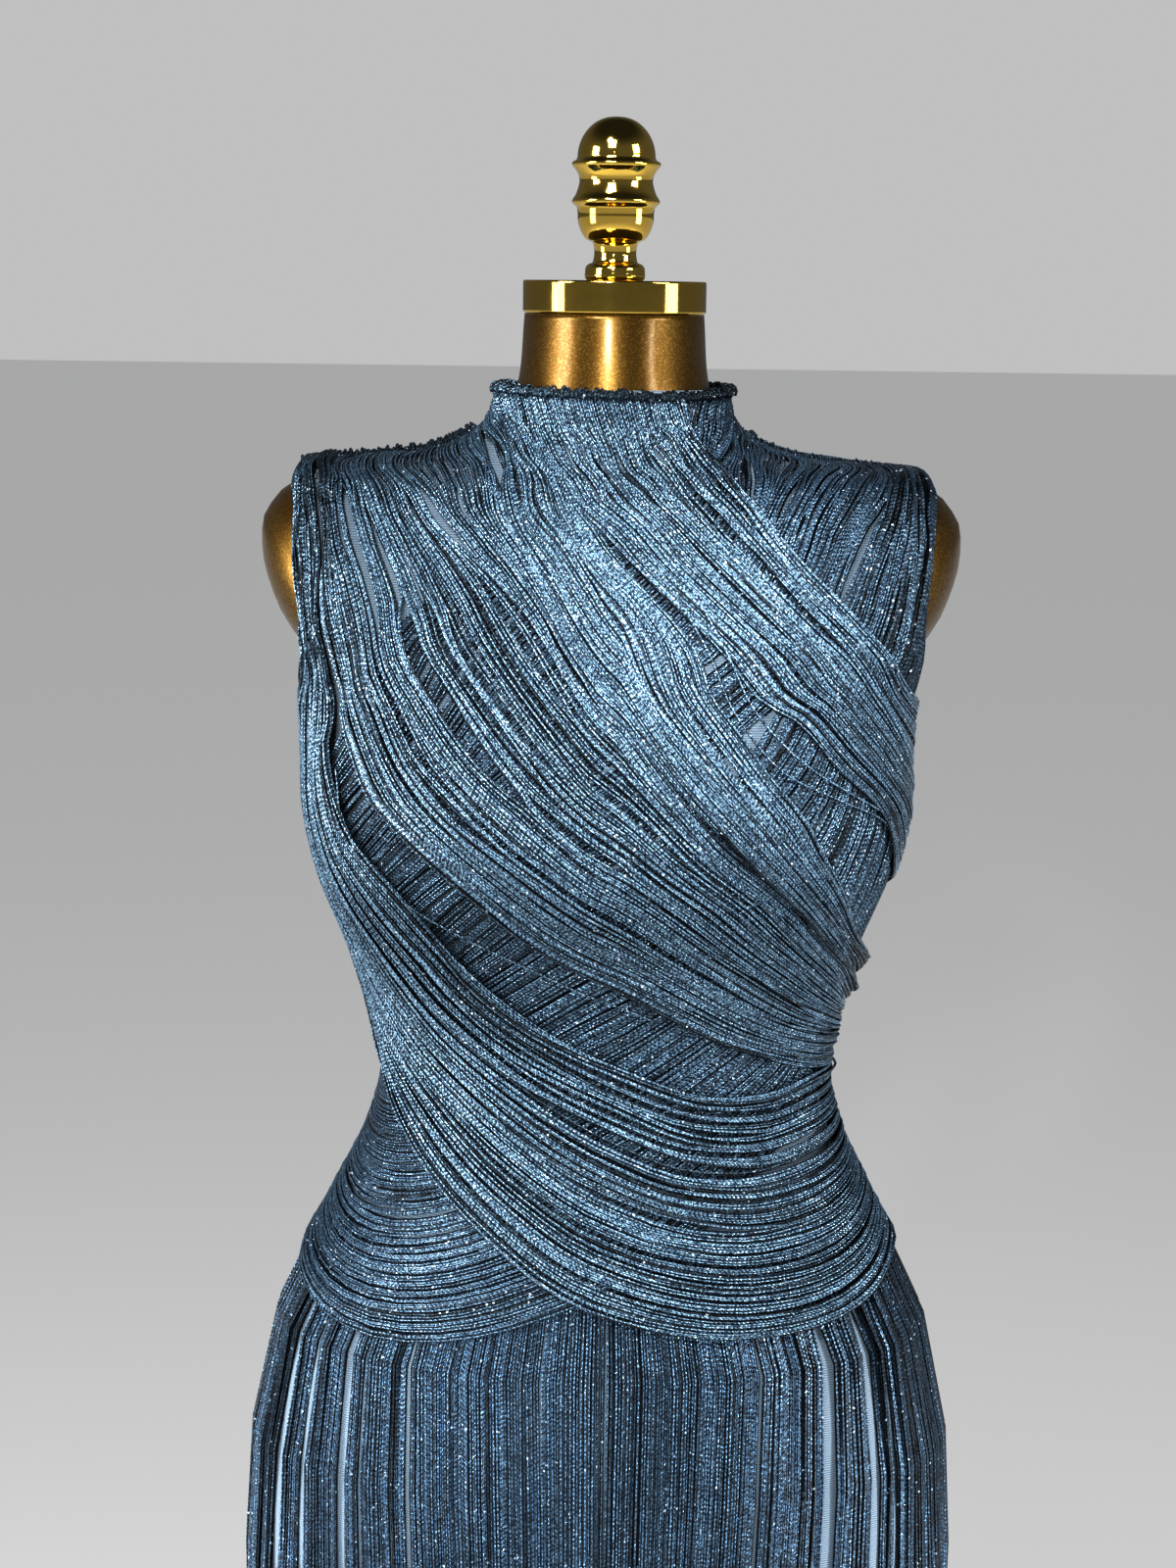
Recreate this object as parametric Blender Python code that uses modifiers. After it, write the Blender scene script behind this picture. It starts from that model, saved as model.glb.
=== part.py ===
"""Fringed maxi dress with crossed drapes, worn by a limbless gold dress form on a round base.

Metres, +Z up.  The origin is on the floor under the middle of the base plate and the front of
the dress faces -Y.  "Right" and "left" in names are the wearer's, so the wearer's right is -X.

Every piece of cloth is a wall laid on one surface, the body, whose level rings are in RINGS.
A place on it is an angle round the body (0 front, 90 wearer's left, 180 back) and a level,
which is the height that a ring has at the centre front.  Over the shoulders the rings rise.
"""
import math
from collections import namedtuple

import bpy
import numpy as np

# ---- driving dimensions -------------------------------------------------------------------
BASE_RADIUS = 0.190
BASE_THICKNESS = 0.009
POLE_RADIUS = 0.0125
FORM_BOTTOM = 0.740
FORM_TOP = 1.490
CAP_RADIUS = 0.0475
CAP_THICKNESS = 0.0165
BASE_BEVEL = 0.0020
CAP_BEVEL = 0.0006
SEAM_GAP = 0.0003

SKIRT_HEM = 0.045
FRINGE_HEM = 0.030
WAIST_SEAM = 1.095
NECK_EDGE = 1.4525

ARMHOLE_BOTTOM = 1.295
ARMHOLE_TOP = 1.391
ARMHOLE_SPREAD = 36.5
ARMHOLE_SQUARENESS = 2.6

# Height of each layer's inner face over the body, and its thickness.
FORM_INSET = 0.0022
GROUND_LIFT = 0.0004
GROUND_THICKNESS = 0.0011
HUNG_LIFT = 0.0027
HUNG_THICKNESS = 0.0013
BACK_START_LIFT = 0.0058
BACK_LIFT = 0.0030
BACK_START_SHARE = 0.72
UNDER_LIFT = 0.0059
OVER_LIFT = 0.0095
DRAPE_THICKNESS = 0.0012
RIB_HEIGHT = 0.0006
UNDER_START_LIFT = 0.0030
OVER_START_LIFT = 0.0074
START_SHARE = 0.07
EDGE_LIFT = 0.0022
EDGE_CREST = 0.0082
EDGE_TROUGH = 0.0070
SHOULDER_CREST = 0.0072
SHOULDER_TROUGH = 0.0060
EDGE_ROUNDING = 0.0012

SKIRT_FRINGE_TOP = 1.015
SKIRT_STRIP = 0.010
SKIRT_LOCKS = 36

# Share of a column's width that a closed gap between two bands has.
GAP_SHARE = 0.25

# Longest step and sharpest turn between two stations of a drape.
LONG_STEP = 0.030
SHARP_TURN = math.radians(13.5)

Ring = namedtuple("Ring", "front side back half_width depth_front depth_back squareness ease")

# Heights at centre front, side and centre back, half widths and depths of the form, the
# squareness of the section (2 is an ellipse) and how far the cloth stands off the form.
RINGS = (
    Ring(0.020, 0.020, 0.020, 0.1860, 0.148, 0.148, 2.00, 0.0000),
    Ring(0.400, 0.400, 0.400, 0.1870, 0.135, 0.138, 2.05, 0.0000),
    Ring(0.680, 0.680, 0.680, 0.1880, 0.119, 0.129, 2.15, 0.0000),
    Ring(0.740, 0.740, 0.740, 0.1760, 0.104, 0.115, 2.20, 0.0120),
    Ring(0.820, 0.820, 0.820, 0.1845, 0.110, 0.123, 2.25, 0.0045),
    Ring(0.860, 0.860, 0.860, 0.1850, 0.110, 0.124, 2.25, 0.0030),
    Ring(0.900, 0.900, 0.900, 0.1815, 0.108, 0.120, 2.25, 0.0020),
    Ring(0.940, 0.940, 0.940, 0.1745, 0.104, 0.113, 2.25, 0.0010),
    Ring(0.980, 0.980, 0.980, 0.1595, 0.099, 0.104, 2.25, 0.0000),
    Ring(1.020, 1.020, 1.020, 0.1380, 0.093, 0.094, 2.20, 0.0000),
    Ring(1.055, 1.055, 1.055, 0.1210, 0.088, 0.086, 2.20, 0.0000),
    Ring(1.095, 1.095, 1.095, 0.1120, 0.085, 0.080, 2.15, 0.0000),
    Ring(1.130, 1.130, 1.130, 0.1170, 0.088, 0.081, 2.15, 0.0000),
    Ring(1.165, 1.165, 1.165, 0.1290, 0.098, 0.086, 2.20, 0.0000),
    Ring(1.200, 1.200, 1.200, 0.1425, 0.114, 0.091, 2.30, 0.0000),
    Ring(1.235, 1.235, 1.235, 0.1500, 0.122, 0.095, 2.35, 0.0000),
    Ring(1.265, 1.265, 1.265, 0.1505, 0.118, 0.098, 2.40, 0.0000),
    Ring(1.295, 1.302, 1.295, 0.1545, 0.107, 0.099, 2.50, 0.0000),
    Ring(1.325, 1.338, 1.328, 0.1765, 0.095, 0.099, 2.50, 0.0000),
    Ring(1.350, 1.368, 1.357, 0.1850, 0.085, 0.096, 2.40, 0.0000),
    Ring(1.372, 1.391, 1.381, 0.1805, 0.077, 0.090, 2.30, 0.0000),
    Ring(1.388, 1.4045, 1.397, 0.1625, 0.071, 0.083, 2.20, 0.0000),
    Ring(1.399, 1.4095, 1.408, 0.1280, 0.066, 0.075, 2.10, 0.0000),
    Ring(1.407, 1.4130, 1.416, 0.0990, 0.061, 0.067, 2.00, 0.0000),
    Ring(1.417, 1.4210, 1.425, 0.0750, 0.057, 0.059, 2.00, 0.0000),
    Ring(1.431, 1.4340, 1.438, 0.0605, 0.053, 0.054, 2.00, 0.0010),
    Ring(1.443, 1.4440, 1.447, 0.0552, 0.053, 0.053, 2.00, 0.0032),
    Ring(1.4525, 1.4525, 1.4525, 0.0525, 0.0525, 0.0525, 2.00, 0.0055),
    Ring(1.490, 1.490, 1.490, 0.0487, 0.0487, 0.0487, 2.00, 0.0000),
)
RING_TABLE = np.array(RINGS)

# Each lane is one line of fringe: (angle in degrees, level in metres) from the edge it is
# sewn to, over the front, to the centre back.
OVER_LANES = {
    "neck_front": ((33, 1.443), (35, 1.416), (24, 1.392), (25, 1.366), (37, 1.332), (48, 1.316),
                   (66, 1.299), (90, 1.283), (115, 1.252), (145, 1.212), (178, 1.182)),
    "neck_split": ((12, 1.443), (18, 1.415), (14, 1.396), (15, 1.378), (23, 1.346), (30, 1.328),
                   (40, 1.312), (55, 1.291), (67, 1.274), (90, 1.248), (118, 1.218), (146, 1.190),
                   (178, 1.170)),
    "neck_low": ((-12, 1.443), (-6, 1.420), (0, 1.395), (3, 1.372), (9, 1.338), (14, 1.320),
                 (22, 1.300), (31, 1.289), (42, 1.268), (52, 1.253), (61, 1.235), (72, 1.212),
                 (90, 1.192), (130, 1.170), (178, 1.157)),
    "bust_top": ((-17, 1.443), (-11, 1.420), (-4, 1.395), (0, 1.368), (6, 1.340), (10, 1.320),
                 (13, 1.302), (19, 1.284), (26, 1.264), (33, 1.247), (40, 1.228), (49, 1.208),
                 (59, 1.186), (73, 1.170), (90, 1.160), (130, 1.152), (178, 1.151)),
    "neck_side": ((-70, 1.443), (-58, 1.430), (-31, 1.410), (-12, 1.390), (-6, 1.367),
                  (-3, 1.344), (1, 1.316), (6, 1.293), (15, 1.266), (24, 1.243), (35, 1.219),
                  (48, 1.196), (64, 1.171), (90, 1.146), (130, 1.142), (178, 1.141)),
    "shoulder": ((-83, 1.408), (-59, 1.401), (-35, 1.390), (-24, 1.375), (-17, 1.360),
                 (-10, 1.335), (-5, 1.305), (-1, 1.284), (5, 1.259), (14, 1.234), (28, 1.209),
                 (41, 1.187), (60, 1.159), (90, 1.130), (130, 1.129), (178, 1.130)),
    "bust_low": ((-83, 1.3945), (-63, 1.3905), (-53.5, 1.382), (-48.7, 1.366), (-47.3, 1.348),
                 (-48.3, 1.329), (-49, 1.317), (-53, 1.301), (-54.3, 1.286), (-51.5, 1.268),
                 (-47.5, 1.251), (-40, 1.237), (-32.5, 1.223), (-25, 1.208), (-18, 1.192),
                 (-10, 1.176), (0, 1.160), (10, 1.146), (26, 1.127), (44, 1.113),
                 (62, 1.106), (90, 1.102), (130, 1.110), (178, 1.117)),
    "swag_top": ((-84, 1.3925), (-66, 1.3885), (-55, 1.380), (-50.3, 1.364), (-48.9, 1.347),
                 (-50, 1.328), (-51.5, 1.316), (-56.5, 1.300), (-59, 1.285), (-59, 1.260),
                 (-56.5, 1.249), (-52, 1.232), (-45, 1.217), (-38.5, 1.202), (-33.5, 1.186),
                 (-28.5, 1.166), (-20, 1.146), (-10, 1.130), (1, 1.117), (11, 1.107), (24, 1.097),
                 (44, 1.090), (63, 1.088), (90, 1.088), (130, 1.098), (178, 1.108)),
    "swag_low": ((-86, 1.3900), (-72, 1.3865), (-62, 1.378), (-56.5, 1.364), (-55, 1.347),
                 (-55.7, 1.331), (-59, 1.316), (-68, 1.303), (-82, 1.283), (-88, 1.250), (-88, 1.200), (-87, 1.150), (-82, 1.110),
                 (-68, 1.084), (-50, 1.060), (-33, 1.036), (-20, 1.016), (-8, 0.995), (3, 0.979),
                 (15, 0.970), (28, 0.968), (42, 0.971), (56, 0.979), (72, 0.992), (90, 1.004),
                 (115, 1.007), (145, 1.004), (178, 1.002)),
}
UNDER_LANES = {
    "neck_front": ((33, 1.443), (22, 1.420), (8, 1.400), (-5, 1.380), (-17, 1.359),
                   (-26, 1.342), (-32, 1.328), (-43, 1.305), (-57, 1.280), (-71, 1.257),
                   (-90, 1.236), (-118, 1.205), (-146, 1.185), (-178, 1.172)),
    "neck_side": ((75, 1.443), (60, 1.425), (42, 1.405), (28, 1.385), (13, 1.360), (0, 1.334),
                  (-12, 1.305), (-24, 1.275), (-38, 1.246), (-55, 1.215), (-74, 1.192),
                  (-92, 1.178), (-130, 1.160), (-178, 1.150)),
    "shoulder": ((83, 1.408), (58, 1.399), (38, 1.385), (27, 1.366), (17, 1.340), (9, 1.312),
                 (1, 1.285), (-9, 1.258), (-21, 1.233), (-37, 1.206), (-57, 1.177),
                 (-77, 1.155), (-96, 1.145), (-130, 1.136), (-178, 1.130)),
    "hip_top": ((84, 1.3925), (62, 1.384), (55, 1.376), (49.5, 1.361), (46.5, 1.345),
                (45.3, 1.328), (43, 1.300), (36, 1.264),
                (23, 1.231), (9, 1.201), (-4, 1.172), (-20, 1.146), (-42, 1.121), (-68, 1.103),
                (-92, 1.096), (-130, 1.100), (-178, 1.108)),
    "hip_low": ((86, 1.3900), (74, 1.3870), (65, 1.381), (57, 1.366), (54.7, 1.350),
                (54.8, 1.334), (58, 1.319), (68, 1.304), (82, 1.283), (88, 1.245), (88, 1.200), (86, 1.150), (80, 1.112), (66, 1.086), (46, 1.063),
                (26, 1.037), (9, 1.008), (-6, 0.985), (-17, 0.972), (-28, 0.965), (-40, 0.963),
                (-54, 0.967), (-70, 0.976), (-90, 0.986), (-115, 0.996), (-145, 1.001),
                (-178, 1.002)),
}
BACK_LANES = {
    "armhole": ((97, 1.3905), (116, 1.381), (124, 1.363), (126, 1.345), (122, 1.323),
                (112, 1.303), (102, 1.278), (99, 1.200), (98, 1.140)),
    "shoulder": ((98, 1.412), (122, 1.400), (134, 1.375), (137, 1.330), (134, 1.270),
                 (132, 1.200), (132, 1.140)),
    "neck": ((118, 1.443), (138, 1.425), (150, 1.402), (155, 1.360), (156, 1.290),
             (156, 1.200), (156, 1.140)),
    "middle": ((180, 1.443), (180, 1.425), (180, 1.402), (180, 1.360), (180, 1.290),
               (180, 1.200), (180, 1.140)),
}

# A column of a drape is a band of cloth of the given share of the width.  One with an open
# share is a gap between bands, open from one share of the drape's run to another.
Column = namedtuple("Column", "share open start end")


def band(share=1.0):
    """A column that is cloth all the way."""
    return Column(share, 0.0, 0.0, 0.0)


def gap(opening, start, end):
    """A column that is cut through from start to end, widest in its middle."""
    return Column(GAP_SHARE, opening, start, end)


# ---- the body surface ---------------------------------------------------------------------
def ring_at(level):
    """Rings at the given levels, read from a smooth curve through the rows of RINGS."""
    heights = RING_TABLE[:, 0]
    steps = np.diff(heights)[:, None]
    slopes = np.diff(RING_TABLE, axis=0) / steps
    tangents = np.empty_like(RING_TABLE)
    tangents[1:-1] = (slopes[1:] * steps[:-1] + slopes[:-1] * steps[1:]) / (steps[1:] + steps[:-1])
    tangents[0] = slopes[0]
    tangents[-1] = slopes[-1]
    row = np.clip(np.searchsorted(heights, level) - 1, 0, len(heights) - 2)
    span = (heights[row + 1] - heights[row])[..., None]
    t = np.clip((level - heights[row])[..., None] / span, 0.0, 1.0)
    return (RING_TABLE[row] * (1 + 2 * t) * (1 - t) ** 2 + tangents[row] * span * t * (1 - t) ** 2
            + RING_TABLE[row + 1] * t * t * (3 - 2 * t) + tangents[row + 1] * span * t * t * (t - 1))


def body_point(angle, level, worn=True):
    """Points of the bare surface; worn adds the ease between the form and the cloth."""
    ring = ring_at(level)
    sine = np.sin(np.radians(angle))
    cosine = np.cos(np.radians(angle))
    power = 2.0 / ring[..., 6]
    ease = ring[..., 7] if worn else 0.0
    facing = cosine >= 0
    depth = np.where(facing, ring[..., 4], ring[..., 5]) + ease
    edge_height = np.where(facing, ring[..., 0], ring[..., 2])
    x = (ring[..., 3] + ease) * np.sign(sine) * np.abs(sine) ** power
    y = -depth * np.sign(cosine) * np.abs(cosine) ** power
    z = ring[..., 1] * sine ** 2 + edge_height * cosine ** 2
    return np.stack((x, y, z), axis=-1)


def body_normal(angle, level):
    """Unit normals of the worn surface, by small differences."""
    turn = 1.5
    rise = 0.002
    low = np.maximum(level - rise, RING_TABLE[0, 0])
    high = np.minimum(level + rise, RING_TABLE[-1, 0])
    along = body_point(angle + turn, level) - body_point(angle - turn, level)
    up = body_point(angle, high) - body_point(angle, low)
    normal = np.cross(along, up)
    return normal / np.linalg.norm(normal, axis=-1, keepdims=True)


def lifted(angle, level, lift):
    """Points at a height over the body."""
    angle, level = np.broadcast_arrays(np.asarray(angle, float), np.asarray(level, float))
    lift = np.broadcast_to(lift, angle.shape)
    return body_point(angle, level) + body_normal(angle, level) * lift[..., None]


def armhole_spread(level):
    """Degrees that the armhole takes off the front or the back at a level."""
    middle = (ARMHOLE_BOTTOM + ARMHOLE_TOP) / 2
    half = (ARMHOLE_TOP - ARMHOLE_BOTTOM) / 2
    share = np.clip(1 - np.abs((level - middle) / half) ** ARMHOLE_SQUARENESS, 0.0, 1.0)
    return ARMHOLE_SPREAD * np.sqrt(share)


# ---- objects ------------------------------------------------------------------------------
def clear_scene():
    """Remove whatever the scene holds."""
    for obj in list(bpy.data.objects):
        bpy.data.objects.remove(obj, do_unlink=True)


def material(name, colour, roughness, metallic):
    """A Principled material, made once for each name."""
    found = bpy.data.materials.get(name)
    if found:
        return found
    made = bpy.data.materials.new(name)
    made.use_nodes = True
    shader = made.node_tree.nodes["Principled BSDF"]
    shader.inputs["Base Color"].default_value = (*colour, 1.0)
    shader.inputs["Roughness"].default_value = roughness
    shader.inputs["Metallic"].default_value = metallic
    return made


def ground_cloth():
    """Pale grey-blue fine ribbed knit."""
    return material("ground_knit", (0.27, 0.36, 0.46), 0.75, 0.0)


def lit_fringe():
    """Steel-blue twisted yarn with a metallic thread."""
    return material("drape_fringe", (0.16, 0.25, 0.36), 0.42, 0.45)


def dark_fringe():
    """The same yarn hanging straight, which looks darker."""
    return material("hung_fringe", (0.09, 0.16, 0.25), 0.45, 0.45)


def satin_gold():
    """Gold paint of the form."""
    return material("gold_paint", (0.45, 0.27, 0.06), 0.35, 0.7)


def bright_gold():
    """Polished plated metal."""
    return material("bright_gold", (0.85, 0.65, 0.18), 0.08, 1.0)


def add_object(collection, name, mesh, finish):
    """An object of a mesh, in the dress's collection."""
    obj = bpy.data.objects.new(name, mesh)
    mesh.materials.append(finish)
    collection.objects.link(obj)
    return obj


def mesh_object(collection, name, points, faces, finish):
    """An object of points and faces, shaded smooth."""
    mesh = bpy.data.meshes.new(name)
    mesh.from_pydata([tuple(point) for point in points], [], faces)
    mesh.shade_smooth()
    mesh.validate()
    return add_object(collection, name, mesh, finish)


def wall_object(collection, name, inner, outer, finish, kept=None, closed=False):
    """A wall between two grids of points, made of the kept cells of the grid."""
    rows, columns = inner.shape[:2]
    cells = columns if closed else columns - 1
    if kept is None:
        kept = np.ones((rows - 1, cells), bool)
    layer = rows * columns
    points = np.concatenate((outer.reshape(-1, 3), inner.reshape(-1, 3)))
    faces = []

    def is_kept(row, cell):
        if closed:
            cell %= cells
        return 0 <= row < rows - 1 and 0 <= cell < cells and kept[row, cell]

    for row in range(rows - 1):
        for cell in range(cells):
            if not kept[row, cell]:
                continue
            right = (cell + 1) % columns
            low_left = row * columns + cell
            low_right = row * columns + right
            high_left = low_left + columns
            high_right = low_right + columns
            faces.append((low_left, low_right, high_right, high_left))
            faces.append((low_left + layer, high_left + layer, high_right + layer,
                          low_right + layer))
            rims = (((row - 1, cell), low_right, low_left), ((row + 1, cell), high_left, high_right),
                    ((row, cell - 1), low_left, high_left), ((row, cell + 1), high_right, low_right))
            for neighbour, start, end in rims:
                if not is_kept(*neighbour):
                    faces.append((start, end, end + layer, start + layer))
    used = sorted({index for face in faces for index in face})
    renumbered = {index: place for place, index in enumerate(used)}
    faces = [tuple(renumbered[index] for index in face) for face in faces]
    return mesh_object(collection, name, points[used], faces, finish)


# ---- ground panels ------------------------------------------------------------------------
def add_ground_panel(collection, name, levels, middle_angle, columns=12):
    """A front or back panel of the plain knit, between its side seams or armholes."""
    levels = np.array(levels)
    half_widths = ring_at(levels)[:, 3] + ring_at(levels)[:, 7]
    seam = np.degrees(SEAM_GAP / half_widths)
    half_spread = 90.0 - armhole_spread(levels) - seam
    across = np.linspace(-1.0, 1.0, columns + 1)
    angles = middle_angle + across[None, :] * half_spread[:, None]
    heights = np.repeat(levels[:, None], columns + 1, axis=1)
    inner = lifted(angles, heights, GROUND_LIFT)
    outer = lifted(angles, heights, GROUND_LIFT + GROUND_THICKNESS)
    return wall_object(collection, name, inner, outer, ground_cloth())


SKIRT_LEVELS = (0.40, 0.70, 0.84, 0.89, 0.935, 0.975)
UPPER_SKIRT_LEVELS = (1.005, 1.030, 1.048, 1.064, 1.080)
BODICE_LEVELS = (1.110, 1.127, 1.150, 1.180, 1.212, 1.240, 1.268, ARMHOLE_BOTTOM, 1.297, 1.303,
                 1.311, 1.325, 1.343, 1.366, 1.381, 1.389, ARMHOLE_TOP, 1.399, 1.408, 1.4145,
                 1.421, 1.429, 1.437, 1.445)


def add_ground(collection):
    """Front and back of the knit dress, each in a bodice and a skirt piece."""
    skirt = (SKIRT_HEM,) + SKIRT_LEVELS + UPPER_SKIRT_LEVELS + (WAIST_SEAM - SEAM_GAP,)
    bodice = (WAIST_SEAM,) + BODICE_LEVELS + (NECK_EDGE,)
    for side, middle_angle in (("front", 0.0), ("back", 180.0)):
        add_ground_panel(collection, "ground_skirt_" + side, skirt, middle_angle)
        add_ground_panel(collection, "ground_bodice_" + side, bodice, middle_angle)


# ---- hung fringe --------------------------------------------------------------------------
def add_skirt_fringe(collection):
    """Locks of fringe hung from a narrow strip at the waist to just above the floor."""
    pitch = 360.0 / SKIRT_LOCKS
    narrow_gap = 0.10
    wide_gap = 0.30
    stripes_from = 22.0
    stripes_to = 78.0
    angles = []
    for lock in range(SKIRT_LOCKS):
        middle = lock * pitch
        folded = abs((middle + 90.0) % 180.0 - 90.0)
        share = wide_gap if stripes_from < folded < stripes_to and lock % 3 == 0 else narrow_gap
        half = pitch * (1.0 - share) / 2
        angles.extend((middle - half, middle + half))
    strip_low = SKIRT_FRINGE_TOP - SKIRT_STRIP
    levels = (FRINGE_HEM,) + SKIRT_LEVELS + (strip_low, SKIRT_FRINGE_TOP)
    grid_angle, grid_level = np.meshgrid(angles, levels)
    inner = lifted(grid_angle, grid_level, HUNG_LIFT)
    outer = lifted(grid_angle, grid_level, HUNG_LIFT + HUNG_THICKNESS)
    kept = np.zeros((len(levels) - 1, len(angles)), bool)
    kept[:, 0::2] = True
    kept[-1, :] = True
    return wall_object(collection, "skirt_fringe", inner, outer, dark_fringe(), kept, closed=True)


def add_back_fringe(collection):
    """Fringe hung down the back from the back neck and the shoulders, in bands."""
    lanes = list(BACK_LANES.values())
    mirrored = [tuple((360.0 - angle, level) for angle, level in lane) for lane in lanes[-2::-1]]
    side = (band(), gap(0.5, 0.05, 0.75), band())
    plain = (band(), band())
    groups = (side, plain, plain, plain, plain, side)
    return add_drape(collection, "back_fringe", lanes + mirrored, groups, BACK_START_LIFT,
                     BACK_LIFT, dark_fringe(), start_share=BACK_START_SHARE)


# ---- drapes -------------------------------------------------------------------------------
def smooth_lane(lane, samples=400):
    """A smooth curve through a lane's points, in angle and level."""
    points = np.array(lane, float)
    # A degree is about 2 mm round the body.
    scaled = points * np.array((0.002, 1.0))
    reach = np.concatenate(([0.0], np.cumsum(np.sqrt(np.linalg.norm(np.diff(scaled, axis=0), axis=1)))))
    tangents = np.empty_like(points)
    slopes = np.diff(points, axis=0) / np.diff(reach)[:, None]
    before = np.diff(reach)[:-1, None]
    after = np.diff(reach)[1:, None]
    tangents[1:-1] = (slopes[1:] * before + slopes[:-1] * after) / (before + after)
    tangents[0] = slopes[0]
    tangents[-1] = slopes[-1]
    where = np.linspace(0.0, reach[-1], samples)
    row = np.clip(np.searchsorted(reach, where) - 1, 0, len(reach) - 2)
    span = (reach[row + 1] - reach[row])[:, None]
    t = (where - reach[row])[:, None] / span
    return (points[row] * (1 + 2 * t) * (1 - t) ** 2 + tangents[row] * span * t * (1 - t) ** 2
            + points[row + 1] * t * t * (3 - 2 * t) + tangents[row + 1] * span * t * t * (t - 1))


def lane_effort(curve):
    """Running count of stations that a curve needs, from its length and the body's turning."""
    places = body_point(curve[:, 0], curve[:, 1])
    normals = body_normal(curve[:, 0], curve[:, 1])
    steps = np.linalg.norm(np.diff(places, axis=0), axis=1)
    turns = np.linalg.norm(np.diff(normals, axis=0), axis=1)
    return np.concatenate(([0.0], np.cumsum(np.maximum(steps / LONG_STEP, turns / SHARP_TURN))))


def station_count(lanes):
    """Stations that the longest of some lanes needs."""
    return math.ceil(max(lane_effort(smooth_lane(lane))[-1] for lane in lanes))


def lane_points(lane, stations):
    """Stations along a lane, closer together where the body turns more sharply."""
    curve = smooth_lane(lane)
    effort = lane_effort(curve)
    wanted = np.linspace(0.0, effort[-1], stations + 1)
    return np.stack([np.interp(wanted, effort, curve[:, axis]) for axis in (0, 1)], axis=-1)


def fan_grid(lanes, groups, stations):
    """Lines of a drape: each group of columns fills the space between two lanes."""
    curves = [lane_points(lane, stations) for lane in lanes]
    run = np.linspace(0.0, 1.0, stations + 1)
    lines = [curves[0]]
    gaps = []
    for first, second, columns in zip(curves, curves[1:], groups):
        widths = []
        for column in columns:
            width = np.full(stations + 1, column.share)
            if column.open:
                inside = np.clip((run - column.start) / (column.end - column.start), 0.0, 1.0)
                width += column.open * np.sin(math.pi * inside)
            widths.append(width)
            gaps.append(column)
        edges = np.cumsum(widths, axis=0) / np.sum(widths, axis=0)
        for edge in edges:
            lines.append(first * (1 - edge[:, None]) + second * edge[:, None])
    return np.stack(lines, axis=1), gaps


def add_drape(collection, name, lanes, groups, start_lift, full_lift, finish=None,
              start_share=START_SHARE):
    """A ribbed wall of fringe laid along its lanes, with the gaps between its bands open."""
    stations = station_count(lanes)
    grid, columns = fan_grid(lanes, groups, stations)
    run = np.linspace(0.0, 1.0, stations + 1)
    rise = np.clip(run / start_share, 0.0, 1.0)
    lift = (start_lift + (full_lift - start_lift) * rise)[:, None]
    beside_gap = [False] * (len(columns) + 1)
    kept = np.ones((stations, len(columns)), bool)
    middles = (run[1:] + run[:-1]) / 2
    for place, column in enumerate(columns):
        if column.open:
            beside_gap[place] = True
            beside_gap[place + 1] = True
            kept[:, place] = (middles < column.start) | (middles > column.end)
    ribs = np.array([RIB_HEIGHT if line % 2 and not beside_gap[line] else 0.0
                     for line in range(len(columns) + 1)])
    # Lanes are listed from the top down, so turning them over makes the outer face look out.
    heading_left = grid[stations // 2, 0, 0] < grid[-1, 0, 0]
    inner = lifted(grid[..., 0], grid[..., 1], lift)
    outer = lifted(grid[..., 0], grid[..., 1], lift + DRAPE_THICKNESS + ribs[None, :])
    if not heading_left:
        inner = inner[:, ::-1]
        outer = outer[:, ::-1]
        kept = kept[:, ::-1]
    return wall_object(collection, name, inner, outer, finish or lit_fringe(), kept)


def add_drapes(collection):
    """The under drape and the three bands of the over drape."""
    over = OVER_LANES
    add_drape(collection, "under_drape", list(UNDER_LANES.values()),
              ((band(), band()),
               (band(), band()),
               (band(), gap(0.7, 0.02, 0.16), band()),
               (band(), band(), band(0.8), band(0.7), band(0.6))),
              UNDER_START_LIFT, UNDER_LIFT)
    add_drape(collection, "neck_band_drape",
              [over[name] for name in ("neck_front", "neck_split", "neck_low")],
              ((band(),),
               (gap(0.4, 0.04, 0.42), band(), band())),
              OVER_START_LIFT, OVER_LIFT)
    add_drape(collection, "bust_band_drape",
              [over[name] for name in ("bust_top", "neck_side", "shoulder", "bust_low")],
              ((band(), band(), band()),
               (band(), gap(0.4, 0.26, 0.55), band()),
               (band(), gap(0.9, 0.01, 0.16), band(), band())),
              OVER_START_LIFT, OVER_LIFT)
    add_drape(collection, "hip_swag_drape",
              [over[name] for name in ("swag_top", "swag_low")],
              ((band(), band(), gap(0.4, 0.42, 0.62), band(), band(), band()),),
              OVER_START_LIFT, OVER_LIFT)


# ---- edges --------------------------------------------------------------------------------
def add_neck_edge(collection):
    """The rough looped edge round the neck."""
    bumps = 44
    low = 1.4445
    high = 1.4540
    dip = 0.0016
    angles = np.arange(bumps) * 360.0 / bumps
    is_crest = np.arange(bumps) % 2 == 0
    outer_lift = np.where(is_crest, EDGE_CREST, EDGE_TROUGH)
    tops = np.where(is_crest, high, high - dip)
    grid_angle = np.stack((angles, angles))
    grid_level = np.stack((np.full(bumps, low), tops))
    inner = lifted(grid_angle, grid_level, EDGE_LIFT)
    outer = lifted(grid_angle, grid_level, np.stack((outer_lift, outer_lift)))
    return wall_object(collection, "neck_edge", inner, outer, lit_fringe(), closed=True)


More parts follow.
